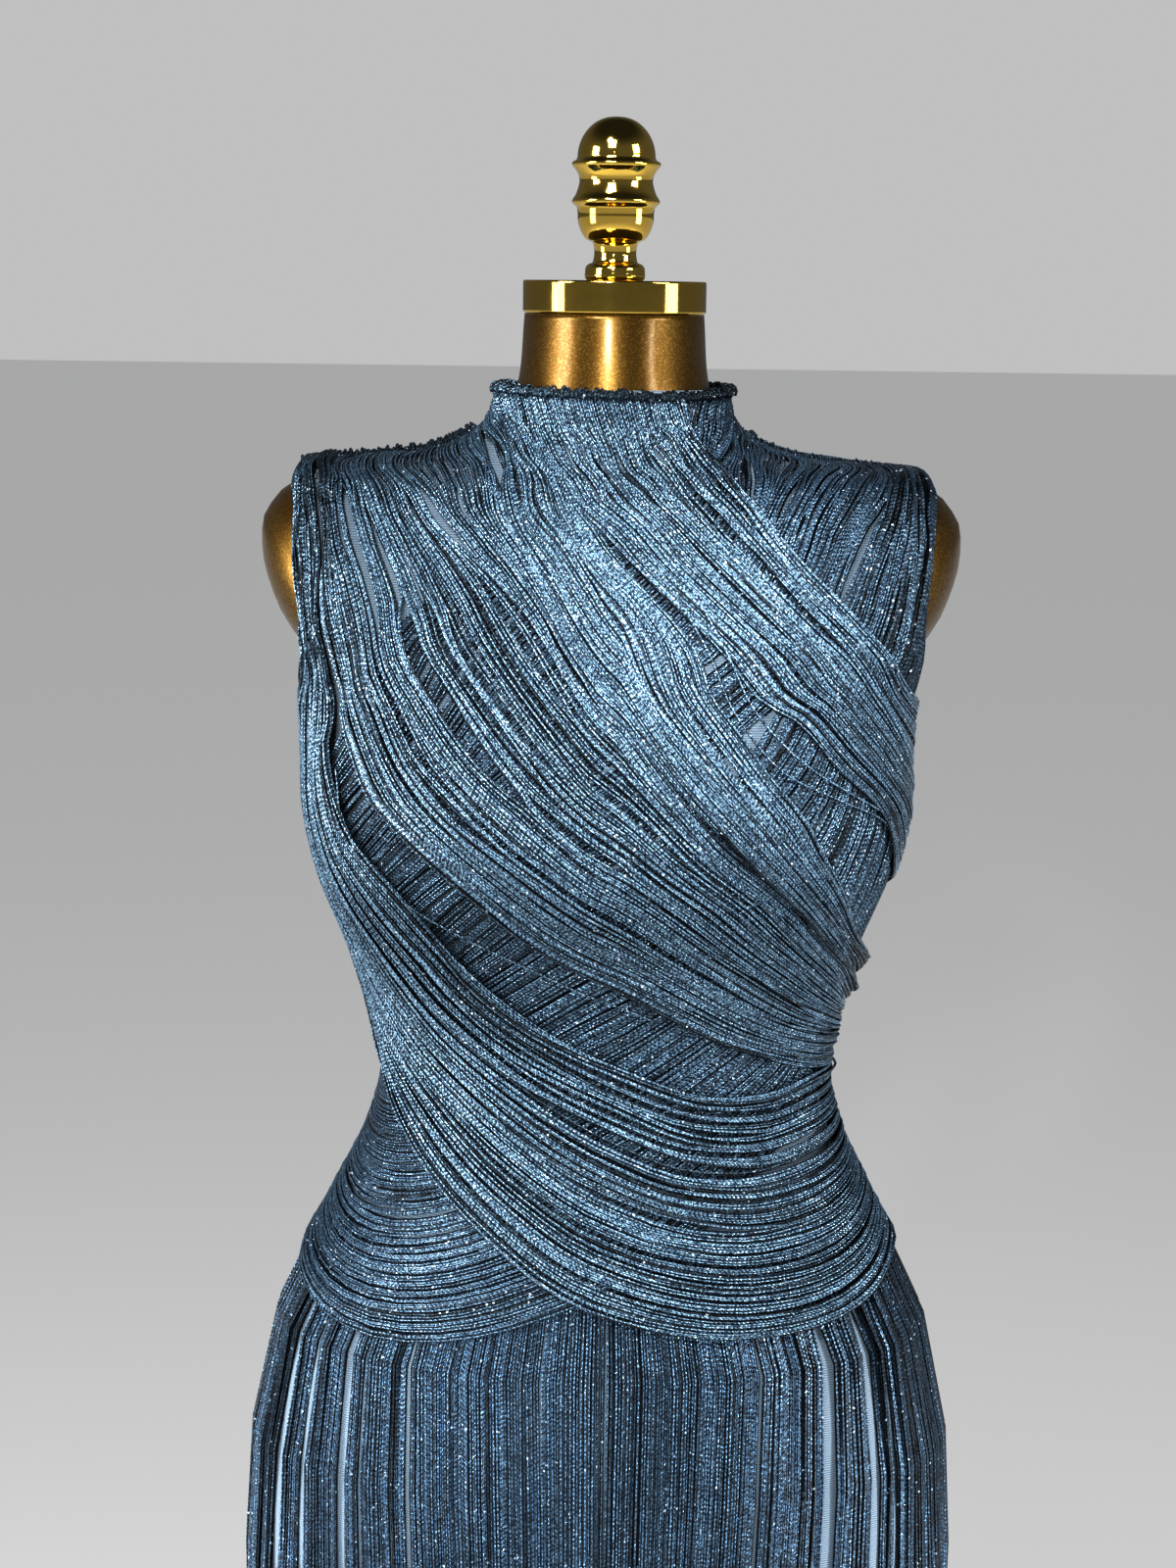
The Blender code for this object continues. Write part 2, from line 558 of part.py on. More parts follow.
def add_shoulder_edge(collection, name, side):
    """The looped edge along one shoulder seam; side is 1 for the wearer's left."""
    bumps = 14
    half_spread = 4.6
    neck_end = 1.4160
    levels = np.linspace(ARMHOLE_TOP, neck_end, bumps + 1)
    angles = side * 90.0 + np.array((-half_spread, 0.0, half_spread))
    grid_angle, grid_level = np.meshgrid(angles, levels)
    middle = np.where(np.arange(bumps + 1) % 2 == 0, SHOULDER_CREST, SHOULDER_TROUGH)[:, None]
    outer_lift = middle - np.array((EDGE_ROUNDING, 0.0, EDGE_ROUNDING))[None, :]
    inner = lifted(grid_angle, grid_level, EDGE_LIFT)
    outer = lifted(grid_angle, grid_level, outer_lift)
    return wall_object(collection, name, inner, outer, lit_fringe())


# ---- form and stand -----------------------------------------------------------------------
FORM_LEVELS = (FORM_BOTTOM, 0.80, 0.86, 0.91, 0.955, 1.0, 1.035, 1.058, 1.078, 1.095, 1.112, 1.132,
               1.158, 1.188, 1.22, 1.26, 1.288, 1.297, 1.306, 1.320, 1.337, 1.354, 1.370, 1.382, 1.390,
               1.398, 1.407, 1.417, 1.430, 1.452, FORM_TOP)


def add_form(collection):
    """The limbless torso, smooth and closed, with its neck flat for the cap."""
    segments = 34
    angles = np.arange(segments) * 360.0 / segments
    grid_angle, grid_level = np.meshgrid(angles, FORM_LEVELS)
    surface = body_point(grid_angle, grid_level, worn=False)
    points = (surface - body_normal(grid_angle, grid_level) * FORM_INSET).reshape(-1, 3)
    points[:segments, 2] = FORM_BOTTOM
    points[-segments:, 2] = FORM_TOP
    faces = []
    for row in range(len(FORM_LEVELS) - 1):
        for place in range(segments):
            right = (place + 1) % segments
            low = row * segments
            faces.append((low + place, low + right, low + segments + right, low + segments + place))
    faces.append(tuple(reversed(range(segments))))
    top = (len(FORM_LEVELS) - 1) * segments
    faces.append(tuple(range(top, top + segments)))
    return mesh_object(collection, "dress_form", points, faces, satin_gold())


def add_cylinder(collection, name, radius, low, high, finish, bevel=0.0, sides=48):
    """An upright cylinder with its edges bevelled."""
    bpy.ops.mesh.primitive_cylinder_add(vertices=sides, radius=radius, depth=high - low,
                                        location=(0.0, 0.0, (low + high) / 2))
    obj = bpy.context.object
    obj.name = name
    obj.data.name = name
    for owner in list(obj.users_collection):
        owner.objects.unlink(obj)
    collection.objects.link(obj)
    obj.data.materials.append(finish)
    obj.data.shade_smooth()
    if bevel:
        rounding = obj.modifiers.new("rounded_edges", "BEVEL")
        rounding.width = bevel
        rounding.segments = 1
        rounding.limit_method = "ANGLE"
    return obj


def add_finial(collection, foot):
    """Turned finial on the cap: a foot, a stem, a bulb, two ridges and a dome."""
    profile = ((0.0000, 0.0830), (0.0062, 0.0818), (0.0120, 0.0785), (0.0162, 0.0742),
               (0.0190, 0.0690), (0.0201, 0.0640), (0.0208, 0.0615), (0.0228, 0.0592),
               (0.0224, 0.0575), (0.0195, 0.0535), (0.0190, 0.0497), (0.0200, 0.0450),
               (0.0226, 0.0402), (0.0222, 0.0385), (0.0203, 0.0372), (0.0197, 0.0335),
               (0.0190, 0.0275), (0.0168, 0.0228), (0.0115, 0.0192), (0.0113, 0.0092),
               (0.0150, 0.0078), (0.0154, 0.0060), (0.0154, 0.0012), (0.0146, 0.0000),
               (0.0000, 0.0000))
    mesh = bpy.data.meshes.new("finial")
    points = [(radius, 0.0, foot + height) for radius, height in profile]
    mesh.from_pydata(points, [(place, place + 1) for place in range(len(points) - 1)], [])
    obj = add_object(collection, "finial", mesh, bright_gold())
    turn = obj.modifiers.new("turned", "SCREW")
    turn.steps = 20
    turn.render_steps = 20
    turn.use_merge_vertices = True
    turn.merge_threshold = 0.00005
    return obj


def add_stand(collection):
    """Round base plate, pole, neck cap and finial."""
    add_cylinder(collection, "base_plate", BASE_RADIUS, 0.0, BASE_THICKNESS, bright_gold(),
                 bevel=BASE_BEVEL)
    add_cylinder(collection, "pole", POLE_RADIUS, BASE_THICKNESS + SEAM_GAP,
                 FORM_BOTTOM - SEAM_GAP, bright_gold(), sides=20)
    cap_low = FORM_TOP + SEAM_GAP
    cap_high = cap_low + CAP_THICKNESS
    add_cylinder(collection, "neck_cap", CAP_RADIUS, cap_low, cap_high, bright_gold(), bevel=CAP_BEVEL,
                 sides=40)
    add_finial(collection, cap_high + SEAM_GAP)


def main():
    """Build the dress on its form."""
    clear_scene()
    collection = bpy.data.collections.new("fringed_maxi_dress")
    bpy.context.scene.collection.children.link(collection)
    add_form(collection)
    add_stand(collection)
    add_ground(collection)
    add_skirt_fringe(collection)
    add_back_fringe(collection)
    add_drapes(collection)
    add_neck_edge(collection)
    add_shoulder_edge(collection, "shoulder_edge_left", 1.0)
    add_shoulder_edge(collection, "shoulder_edge_right", -1.0)


main()
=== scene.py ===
"""Looks of a fringed maxi dress worn by a limbless gold dress form.

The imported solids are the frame.  Every piece of cloth lies on one body surface, whose level
rings are in RINGS, and every strand of fringe is a tube that follows the lanes of its drape.
A place on the body is an angle round it (0 front, 90 wearer's left, 180 back) and a level, the
height that a ring has at the centre front.  Metres, +Z up, the front faces -Y.
"""
from __future__ import annotations

import logging
import math
from dataclasses import dataclass, field
from enum import Enum
from typing import ClassVar, NamedTuple, Sequence

import bpy
import numpy as np
from mathutils import Matrix, Vector

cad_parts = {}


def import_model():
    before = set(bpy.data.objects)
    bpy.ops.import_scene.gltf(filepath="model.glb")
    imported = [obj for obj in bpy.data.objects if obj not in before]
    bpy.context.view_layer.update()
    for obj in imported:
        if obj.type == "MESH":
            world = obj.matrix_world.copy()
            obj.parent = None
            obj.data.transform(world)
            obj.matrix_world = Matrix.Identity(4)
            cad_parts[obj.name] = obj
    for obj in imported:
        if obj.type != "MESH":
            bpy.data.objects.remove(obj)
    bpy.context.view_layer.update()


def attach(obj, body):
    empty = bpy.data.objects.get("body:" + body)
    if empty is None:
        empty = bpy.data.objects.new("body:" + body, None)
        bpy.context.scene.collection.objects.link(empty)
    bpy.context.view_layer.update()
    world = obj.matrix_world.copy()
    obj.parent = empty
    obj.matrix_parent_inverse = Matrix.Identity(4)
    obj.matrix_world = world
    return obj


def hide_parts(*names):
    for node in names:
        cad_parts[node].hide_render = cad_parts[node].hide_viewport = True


LOG = logging.getLogger("fringed_maxi_dress")

# Heights over the body, as in the solids.
FORM_INSET = 0.0022
GROUND_LIFT = 0.0004
GROUND_THICKNESS = 0.0011
UNDER_START, UNDER_LIFT = 0.0030, 0.0058
OVER_START, OVER_LIFT = 0.0074, 0.0094
OVER_SINK = 0.0048  # drop of the over drape where nothing lies under it
SKIRT_LIFT = 0.0027
EDGE_RUN = 0.07  # share of a strand's run that it takes to rise from the edge

STRAND_RADIUS = 0.00066
DEGREE = 0.002  # metres that a degree is worth in the chart of angle and level
WAIST = 1.095
SEAM = 0.0003
SKIRT_TOP, SKIRT_END = 1.012, 0.032
WELD_REACH = 0.00002
ROOT = "root"


class Ring(NamedTuple):
    """One level ring of the body: its three heights, its half sizes, its form and its ease."""

    front: float
    side: float
    back: float
    half_width: float
    depth_front: float
    depth_back: float
    squareness: float
    ease: float


RINGS = (
    Ring(0.020, 0.020, 0.020, 0.1860, 0.148, 0.148, 2.00, 0.0000),
    Ring(0.400, 0.400, 0.400, 0.1870, 0.135, 0.138, 2.05, 0.0000),
    Ring(0.680, 0.680, 0.680, 0.1880, 0.119, 0.129, 2.15, 0.0000),
    Ring(0.740, 0.740, 0.740, 0.1760, 0.104, 0.115, 2.20, 0.0120),
    Ring(0.820, 0.820, 0.820, 0.1845, 0.110, 0.123, 2.25, 0.0045),
    Ring(0.860, 0.860, 0.860, 0.1850, 0.110, 0.124, 2.25, 0.0030),
    Ring(0.900, 0.900, 0.900, 0.1815, 0.108, 0.120, 2.25, 0.0020),
    Ring(0.940, 0.940, 0.940, 0.1745, 0.104, 0.113, 2.25, 0.0010),
    Ring(0.980, 0.980, 0.980, 0.1595, 0.099, 0.104, 2.25, 0.0000),
    Ring(1.020, 1.020, 1.020, 0.1380, 0.093, 0.094, 2.20, 0.0000),
    Ring(1.055, 1.055, 1.055, 0.1210, 0.088, 0.086, 2.20, 0.0000),
    Ring(1.095, 1.095, 1.095, 0.1120, 0.085, 0.080, 2.15, 0.0000),
    Ring(1.130, 1.130, 1.130, 0.1170, 0.088, 0.081, 2.15, 0.0000),
    Ring(1.165, 1.165, 1.165, 0.1290, 0.098, 0.086, 2.20, 0.0000),
    Ring(1.200, 1.200, 1.200, 0.1425, 0.114, 0.091, 2.30, 0.0000),
    Ring(1.235, 1.235, 1.235, 0.1500, 0.122, 0.095, 2.35, 0.0000),
    Ring(1.265, 1.265, 1.265, 0.1505, 0.118, 0.098, 2.40, 0.0000),
    Ring(1.295, 1.302, 1.295, 0.1545, 0.107, 0.099, 2.50, 0.0000),
    Ring(1.325, 1.338, 1.328, 0.1765, 0.095, 0.099, 2.50, 0.0000),
    Ring(1.350, 1.368, 1.357, 0.1850, 0.085, 0.096, 2.40, 0.0000),
    Ring(1.372, 1.391, 1.381, 0.1805, 0.077, 0.090, 2.30, 0.0000),
    Ring(1.388, 1.4045, 1.397, 0.1625, 0.071, 0.083, 2.20, 0.0000),
    Ring(1.399, 1.4095, 1.408, 0.1280, 0.066, 0.075, 2.10, 0.0000),
    Ring(1.407, 1.4130, 1.416, 0.0990, 0.061, 0.067, 2.00, 0.0000),
    Ring(1.417, 1.4210, 1.425, 0.0750, 0.057, 0.059, 2.00, 0.0000),
    Ring(1.431, 1.4340, 1.438, 0.0605, 0.053, 0.054, 2.00, 0.0010),
    Ring(1.443, 1.4440, 1.447, 0.0552, 0.053, 0.053, 2.00, 0.0032),
    Ring(1.4525, 1.4525, 1.4525, 0.0525, 0.0525, 0.0525, 2.00, 0.0055),
    Ring(1.490, 1.490, 1.490, 0.0487, 0.0487, 0.0487, 2.00, 0.0000),
)

Place = tuple[float, float]
Lane = Sequence[Place]

# Lines of fringe, from the edge they are sewn to, over the front, to the centre back.
OVER_LANES: dict[str, Lane] = {
    "neck_front": ((33, 1.4492), (35, 1.416), (24, 1.392), (25, 1.366), (37, 1.332), (48, 1.316),
                   (66, 1.299), (90, 1.283), (115, 1.252), (145, 1.212), (178, 1.182)),
    "neck_split": ((12, 1.4492), (18, 1.415), (14, 1.396), (15, 1.378), (23, 1.346), (30, 1.328),
                   (40, 1.312), (55, 1.291), (67, 1.274), (90, 1.248), (118, 1.218), (146, 1.190),
                   (178, 1.170)),
    "neck_low": ((-50, 1.4492), (-41, 1.432), (-25, 1.415), (-10.5, 1.401), (-2.5, 1.385),
                 (1.5, 1.365), (5.5, 1.348), (9, 1.335), (14, 1.320), (22, 1.300), (31, 1.289),
                 (42, 1.268), (52, 1.253), (61, 1.235), (72, 1.212), (90, 1.192), (130, 1.170),
                 (178, 1.157)),
    "bust_top": ((-50, 1.4492), (-41, 1.432), (-25, 1.415), (-10.5, 1.401), (-2.8, 1.384),
                 (0.8, 1.363), (4.5, 1.345), (7, 1.334), (10, 1.320), (13, 1.302), (19, 1.284),
                 (26, 1.264), (33, 1.247), (40, 1.228), (49, 1.208), (59, 1.186), (73, 1.170),
                 (90, 1.160), (130, 1.152), (178, 1.151)),
    "neck_side": ((-73, 1.4492), (-60, 1.434), (-43, 1.419), (-19, 1.402), (-8.5, 1.384),
                  (-3, 1.361), (0.3, 1.335), (2.5, 1.312), (6, 1.293), (15, 1.266), (24, 1.243),
                  (35, 1.219), (48, 1.196), (64, 1.171), (90, 1.146), (130, 1.142), (178, 1.141)),
    "neck_base": ((-84, 1.4225), (-62, 1.4165), (-41, 1.4095), (-23, 1.397), (-12.5, 1.376),
                  (-6.5, 1.348), (-2, 1.316), (2.5, 1.290), (10, 1.262), (19, 1.238), (31, 1.214),
                  (44, 1.191), (62, 1.165), (90, 1.138), (130, 1.135), (178, 1.135)),
    "shoulder": ((-88, 1.4050), (-61, 1.3990), (-35, 1.3890), (-24, 1.375), (-17, 1.360),
                 (-10, 1.335), (-5, 1.305), (-1, 1.284), (5, 1.259), (14, 1.234), (28, 1.209),
                 (41, 1.187), (60, 1.159), (90, 1.130), (130, 1.129), (178, 1.130)),
    "shoulder_mid": ((-87, 1.3962), (-68, 1.3915), (-52.5, 1.384), (-43.5, 1.367), (-39, 1.349),
                     (-37.5, 1.324), (-39, 1.300), (-34.5, 1.274), (-24, 1.247), (-11.5, 1.222),
                     (0, 1.197), (17, 1.167), (36, 1.142), (56, 1.125), (90, 1.113), (130, 1.118),
                     (178, 1.122)),
    "bust_low": ((-84, 1.3930), (-70, 1.3897), (-57, 1.3842), (-51.3, 1.3757), (-47.8, 1.367),
                 (-46.8, 1.357), (-47.6, 1.347), (-49.8, 1.329), (-51.2, 1.316), (-55.2, 1.301),
                 (-55.4, 1.286), (-51.5, 1.268), (-47.5, 1.251), (-40, 1.237), (-32.5, 1.223),
                 (-25, 1.208), (-18, 1.192), (-10, 1.176), (0, 1.160), (10, 1.146), (26, 1.127),
                 (44, 1.113), (62, 1.103), (90, 1.0975), (130, 1.106), (178, 1.115)),
    "swag_top": ((-84, 1.3925), (-70, 1.3887), (-59.6, 1.3828), (-53.6, 1.375), (-49.8, 1.366),
                 (-48.6, 1.357), (-48.5, 1.347), (-50, 1.328), (-51.5, 1.316), (-56.5, 1.300),
                 (-59, 1.285), (-59, 1.260), (-56.5, 1.249), (-52, 1.232), (-45, 1.217),
                 (-38.5, 1.202), (-33.5, 1.186), (-28.5, 1.166), (-20, 1.146), (-10, 1.130),
                 (1, 1.117), (11, 1.107), (24, 1.097), (44, 1.094), (63, 1.098), (90, 1.0975),
                 (130, 1.104), (178, 1.113)),
    "swag_low": ((-86, 1.3900), (-72, 1.3865), (-62, 1.378), (-56.5, 1.364), (-55, 1.347),
                 (-55.7, 1.331), (-59, 1.316), (-68, 1.303), (-82, 1.283), (-88, 1.250),
                 (-88, 1.200), (-87, 1.150), (-82, 1.110), (-68, 1.084), (-50, 1.060),
                 (-33, 1.036), (-20, 1.016), (-8, 0.995), (3, 0.979), (15, 0.970), (28, 0.968),
                 (42, 0.971), (56, 0.979), (72, 0.992), (90, 1.004), (115, 1.007), (145, 1.004),
                 (178, 1.002)),
}
UNDER_LANES: dict[str, Lane] = {
    "neck_front": ((33, 1.4492), (22, 1.420), (8, 1.400), (-5, 1.380), (-17, 1.359),
                   (-26, 1.342), (-32, 1.328), (-43, 1.305), (-57, 1.280), (-71, 1.257),
                   (-90, 1.236), (-118, 1.205), (-146, 1.185), (-178, 1.172)),
    "neck_side": ((75, 1.4492), (60, 1.427), (31, 1.410), (11, 1.391), (3, 1.368), (-4, 1.340),
                  (-14, 1.308), (-25, 1.276), (-38, 1.246), (-55, 1.215), (-74, 1.192),
                  (-92, 1.178), (-130, 1.160), (-178, 1.150)),
    "neck_base": ((84, 1.4145), (68, 1.4065), (38, 1.397), (24.5, 1.385), (16, 1.363), (9, 1.335),
                  (0, 1.305), (-11, 1.276), (-24, 1.250), (-39, 1.222), (-56, 1.196), (-75, 1.173),
                  (-93, 1.161), (-130, 1.148), (-178, 1.140)),
    "shoulder": ((88, 1.4040), (70, 1.3995), (46.5, 1.3945), (31.5, 1.383), (25, 1.365),
                 (17, 1.336), (8, 1.309), (1, 1.285), (-9, 1.258), (-21, 1.233), (-37, 1.206),
                 (-57, 1.177), (-77, 1.155), (-96, 1.145), (-130, 1.136), (-178, 1.130)),
    "shoulder_mid": ((88, 1.3970), (65, 1.3915), (48, 1.3835), (38.5, 1.371), (31.5, 1.346),
                     (28, 1.315), (19, 1.283), (10, 1.257), (1, 1.232), (-13, 1.204), (-28, 1.176),
                     (-44, 1.152), (-66, 1.134), (-94, 1.121), (-130, 1.118), (-178, 1.119)),
    "hip_top": ((84, 1.3925), (62, 1.384), (55, 1.376), (49.5, 1.361), (46.5, 1.345),
                (45.3, 1.328), (43, 1.300), (36, 1.264), (23, 1.231), (9, 1.201), (-4, 1.172),
                (-20, 1.146), (-42, 1.121), (-68, 1.103), (-92, 1.096), (-130, 1.100),
                (-178, 1.108)),
    "hip_low": ((86, 1.3900), (74, 1.3870), (65, 1.381), (57, 1.366), (54.7, 1.350),
                (54.8, 1.334), (58, 1.319), (67, 1.304), (76, 1.283), (79, 1.245), (79, 1.200),
                (79, 1.150), (75, 1.112), (64, 1.086), (46, 1.063), (26, 1.037), (9, 1.008),
                (-6, 0.985), (-17, 0.972), (-28, 0.965), (-40, 0.963), (-54, 0.967),
                (-70, 0.976), (-90, 0.986), (-115, 0.996), (-145, 1.001), (-178, 1.002)),
}
BACK_LANES: dict[str, Lane] = {
    "armhole": ((97, 1.3905), (116, 1.381), (124, 1.363), (126, 1.345), (122, 1.323),
                (112, 1.303), (102, 1.278), (99, 1.200), (98, 1.140)),
    "shoulder": ((98, 1.412), (122, 1.400), (134, 1.375), (137, 1.330), (134, 1.270),
                 (132, 1.200), (132, 1.140)),
    "neck": ((118, 1.4492), (138, 1.425), (150, 1.402), (155, 1.360), (156, 1.290),
             (156, 1.200), (156, 1.140)),
    "middle": ((180, 1.4492), (180, 1.425), (180, 1.402), (180, 1.360), (180, 1.290),
               (180, 1.200), (180, 1.140)),
}


class Slot(Enum):
    """Material slots of the record."""

    GOLD_PAINT = "gold_paint"
    BRIGHT_GOLD = "bright_gold"
    GROUND_KNIT = "ground_knit"
    DRAPE_FRINGE = "drape_fringe"
    HUNG_FRINGE = "hung_fringe"


# ---- curves and fields --------------------------------------------------------------------
def hermite_rows(keys: np.ndarray, rows: np.ndarray, where: np.ndarray) -> np.ndarray:
    """Read a table along a smooth curve through its rows.

    Args:
        keys: rising key of each row.
        rows: the rows, one for each key.
        where: keys to read at.

    Returns:
        A row for each key in where, in the last axis.
    """
    steps = np.diff(keys)[:, None]
    slopes = np.diff(rows, axis=0) / steps
    tangents = np.empty_like(rows)
    tangents[1:-1] = (slopes[1:] * steps[:-1] + slopes[:-1] * steps[1:]) / (steps[1:] + steps[:-1])
    tangents[0] = slopes[0]
    tangents[-1] = slopes[-1]
    row = np.clip(np.searchsorted(keys, where) - 1, 0, len(keys) - 2)
    span = (keys[row + 1] - keys[row])[..., None]
    t = np.clip((where - keys[row])[..., None] / span, 0.0, 1.0)
    return (rows[row] * (1 + 2 * t) * (1 - t) ** 2 + tangents[row] * span * t * (1 - t) ** 2
            + rows[row + 1] * t * t * (3 - 2 * t) + tangents[row + 1] * span * t * t * (t - 1))


def smooth_rise(values: np.ndarray, low: float, high: float) -> np.ndarray:
    """A smooth rise from 0 at low to 1 at high."""
    share = np.clip((values - low) / (high - low), 0.0, 1.0)
    return share * share * (3 - 2 * share)


class Wander:
    """A smooth random field over the unit square, from -1 to 1."""

    def __init__(self, seed: int, across: int, along: int) -> None:
        """Draw the values on a lattice.

        Args:
            seed: seed of the random numbers.
            across: cells in the first direction.
            along: cells in the second direction.
        """
        self.values = np.random.default_rng(seed).uniform(-1.0, 1.0, (across + 2, along + 2))
        self.cells = (across, along)

    def __call__(self, u: np.ndarray, v: np.ndarray) -> np.ndarray:
        """The field at u and v, each from 0 to 1."""
        x = np.clip(u, 0.0, 1.0) * self.cells[0]
        y = np.clip(v, 0.0, 1.0) * self.cells[1]
        column = np.floor(x).astype(int)
        row = np.floor(y).astype(int)
        fx = x - column
        fy = y - row
        fx = fx * fx * (3 - 2 * fx)
        fy = fy * fy * (3 - 2 * fy)
        table = self.values
        low = table[column, row] * (1 - fx) + table[column + 1, row] * fx
        high = table[column, row + 1] * (1 - fx) + table[column + 1, row + 1] * fx
        return low * (1 - fy) + high * fy


class Body:
    """The surface that all the cloth lies on."""

    def __init__(self) -> None:
        """Keep the rings as a table of numbers."""
        self.table = np.array(RINGS)

    def ring(self, level: np.ndarray) -> Ring:
        """The rings at the given levels, with an array for each value."""
        rows = hermite_rows(self.table[:, 0], self.table, np.asarray(level, float))
        return Ring(*np.moveaxis(rows, -1, 0))

    def point(self, angle: np.ndarray, level: np.ndarray, worn: bool = True) -> np.ndarray:
        """Points of the surface.

        Args:
            angle: degrees round the body.
            level: heights at the centre front.
            worn: whether the ease between the form and the cloth is added.

        Returns:
            A point for each angle and level.
        """
        ring = self.ring(level)
        sine = np.sin(np.radians(angle))
        cosine = np.cos(np.radians(angle))
        power = 2.0 / ring.squareness
        ease = ring.ease if worn else 0.0
        facing = cosine >= 0
        depth = np.where(facing, ring.depth_front, ring.depth_back) + ease
        edge_height = np.where(facing, ring.front, ring.back)
        x = (ring.half_width + ease) * np.sign(sine) * np.abs(sine) ** power
        y = -depth * np.sign(cosine) * np.abs(cosine) ** power
        z = ring.side * sine ** 2 + edge_height * cosine ** 2
        return np.stack((x, y, z), axis=-1)

    def normal(self, angle: np.ndarray, level: np.ndarray) -> np.ndarray:
        """Unit normals of the worn surface, by small differences."""
        turn = 1.5
        rise = 0.002
        low = np.maximum(level - rise, RINGS[0].front)
        high = np.minimum(level + rise, RINGS[-1].front)
        along = self.point(angle + turn, level) - self.point(angle - turn, level)
        up = self.point(angle, high) - self.point(angle, low)
        normal = np.cross(along, up)
        return normal / np.linalg.norm(normal, axis=-1, keepdims=True)

    def lifted(self, angle: np.ndarray, level: np.ndarray, lift: np.ndarray) -> np.ndarray:
        """Points at a height over the body."""
        angle, level = np.broadcast_arrays(np.asarray(angle, float), np.asarray(level, float))
        lift = np.broadcast_to(lift, angle.shape)
        return self.point(angle, level) + self.normal(angle, level) * lift[..., None]


# ---- meshes -------------------------------------------------------------------------------
@dataclass
class MeshParts:
    """Points, quads and point values gathered for one mesh."""

    points: list[np.ndarray] = field(default_factory=list)
    quads: list[np.ndarray] = field(default_factory=list)
    strand: list[np.ndarray] = field(default_factory=list)
    along: list[np.ndarray] = field(default_factory=list)
    turn: list[np.ndarray] = field(default_factory=list)
    count: int = 0

    def add_grid(self, grid: np.ndarray, closed: bool = False, flip: bool = False) -> None:
        """Add a sheet of quads.

        Args:
            grid: points in rows and columns.
            closed: whether the last column joins the first.
            flip: whether the faces are turned over.
        """
        rows, columns = grid.shape[:2]
        index = np.arange(rows * columns).reshape(rows, columns) + self.count
        right = np.roll(index, -1, axis=1)
        if not closed:
            index = index[:, :-1]
            right = right[:, :-1]
        quads = np.stack((index[:-1], right[:-1], right[1:], index[1:]), axis=-1).reshape(-1, 4)
        self.points.append(grid.reshape(-1, 3))
        self.quads.append(quads[:, ::-1] if flip else quads)
        self.count += rows * columns

    def add_tubes(self, centres: np.ndarray, outward: np.ndarray, radius: float, sides: int,
                  seed: int, painted_shade_drop: float = 0.0) -> None:
        """Add a tube along each row of centres.

        Args:
            centres: strands, stations, coordinates.
            outward: a direction across each strand at each station.
            radius: radius of the tubes.
            sides: sides of a tube.
            seed: seed of the value that tells one strand from another.
            painted_shade_drop: how much lower that value is, which paints the yarn darker as painted shade
                for strands deep in the pile.
        """
        strands, stations = centres.shape[:2]
        tangent = np.gradient(centres, axis=1)
        tangent /= np.linalg.norm(tangent, axis=-1, keepdims=True)
        side = np.cross(tangent, outward)
        side /= np.linalg.norm(side, axis=-1, keepdims=True)
        up = np.cross(side, tangent)
        turns = np.arange(sides) * 2 * math.pi / sides
        around = (np.cos(turns)[None, None, :, None] * side[:, :, None, :]
                  + np.sin(turns)[None, None, :, None] * up[:, :, None, :])
        points = centres[:, :, None, :] + around * radius
        index = np.arange(strands * stations * sides).reshape(strands, stations, sides) + self.count
        after = np.roll(index, -1, axis=2)
        quads = np.stack((index[:, :-1], index[:, 1:], after[:, 1:], after[:, :-1]), axis=-1)
        self.quads.append(quads.reshape(-1, 4))
        if sides == 4:  # one quad closes each end; the hidden three-sided strands stay open
            self.quads.append(index[:, 0])
            self.quads.append(index[:, -1, ::-1])
        self.points.append(points.reshape(-1, 3))
        shade = np.random.default_rng(seed).uniform(0.0, 1.0, strands)
        run = np.cumsum(np.linalg.norm(np.diff(centres, axis=1, prepend=centres[:, :1]), axis=-1),
                        axis=1) + shade[:, None]
        self.strand.append(np.repeat(shade - painted_shade_drop, stations * sides))
        self.along.append(np.repeat(run.reshape(-1), sides))
        self.turn.append(np.tile(np.stack((np.cos(turns), np.sin(turns)), axis=-1),
                                 (strands * stations, 1)))
        self.count += strands * stations * sides

    def to_object(self, name: str) -> bpy.types.Object:
        """Make an object of what was added.

        Args:
            name: the object's name.

        Returns:
            The object, linked to the scene and smooth shaded.
        """
        points = np.concatenate(self.points)
        quads = np.concatenate(self.quads)
        mesh = bpy.data.meshes.new(name)
        mesh.vertices.add(len(points))
        mesh.vertices.foreach_set("co", points.astype(np.float32).ravel())
        mesh.loops.add(len(quads) * 4)
        mesh.loops.foreach_set("vertex_index", quads.astype(np.int32).ravel())
        mesh.polygons.add(len(quads))
        mesh.polygons.foreach_set("loop_start", np.arange(len(quads), dtype=np.int32) * 4)
        mesh.update(calc_edges=True)
        if self.strand:
            self.write_values(mesh)
        mesh.shade_smooth()
        obj = bpy.data.objects.new(name, mesh)
        bpy.context.scene.collection.objects.link(obj)
        LOG.info("%s: %d quads", name, len(quads))
        return obj

    def write_values(self, mesh: bpy.types.Mesh) -> None:
        """Keep the strand's own value, lowered as painted shade for underlay strands, its run and its turn
        on the points.
        """
        strand = mesh.attributes.new("strand", "FLOAT", "POINT")
        strand.data.foreach_set("value", np.concatenate(self.strand).astype(np.float32))
        along = mesh.attributes.new("along", "FLOAT", "POINT")
        along.data.foreach_set("value", np.concatenate(self.along).astype(np.float32))
        turn = mesh.attributes.new("turn", "FLOAT_VECTOR", "POINT")
        turns = np.concatenate(self.turn)
        turns = np.concatenate((turns, np.zeros((len(turns), 1))), axis=1)
        turn.data.foreach_set("vector", turns.astype(np.float32).ravel())


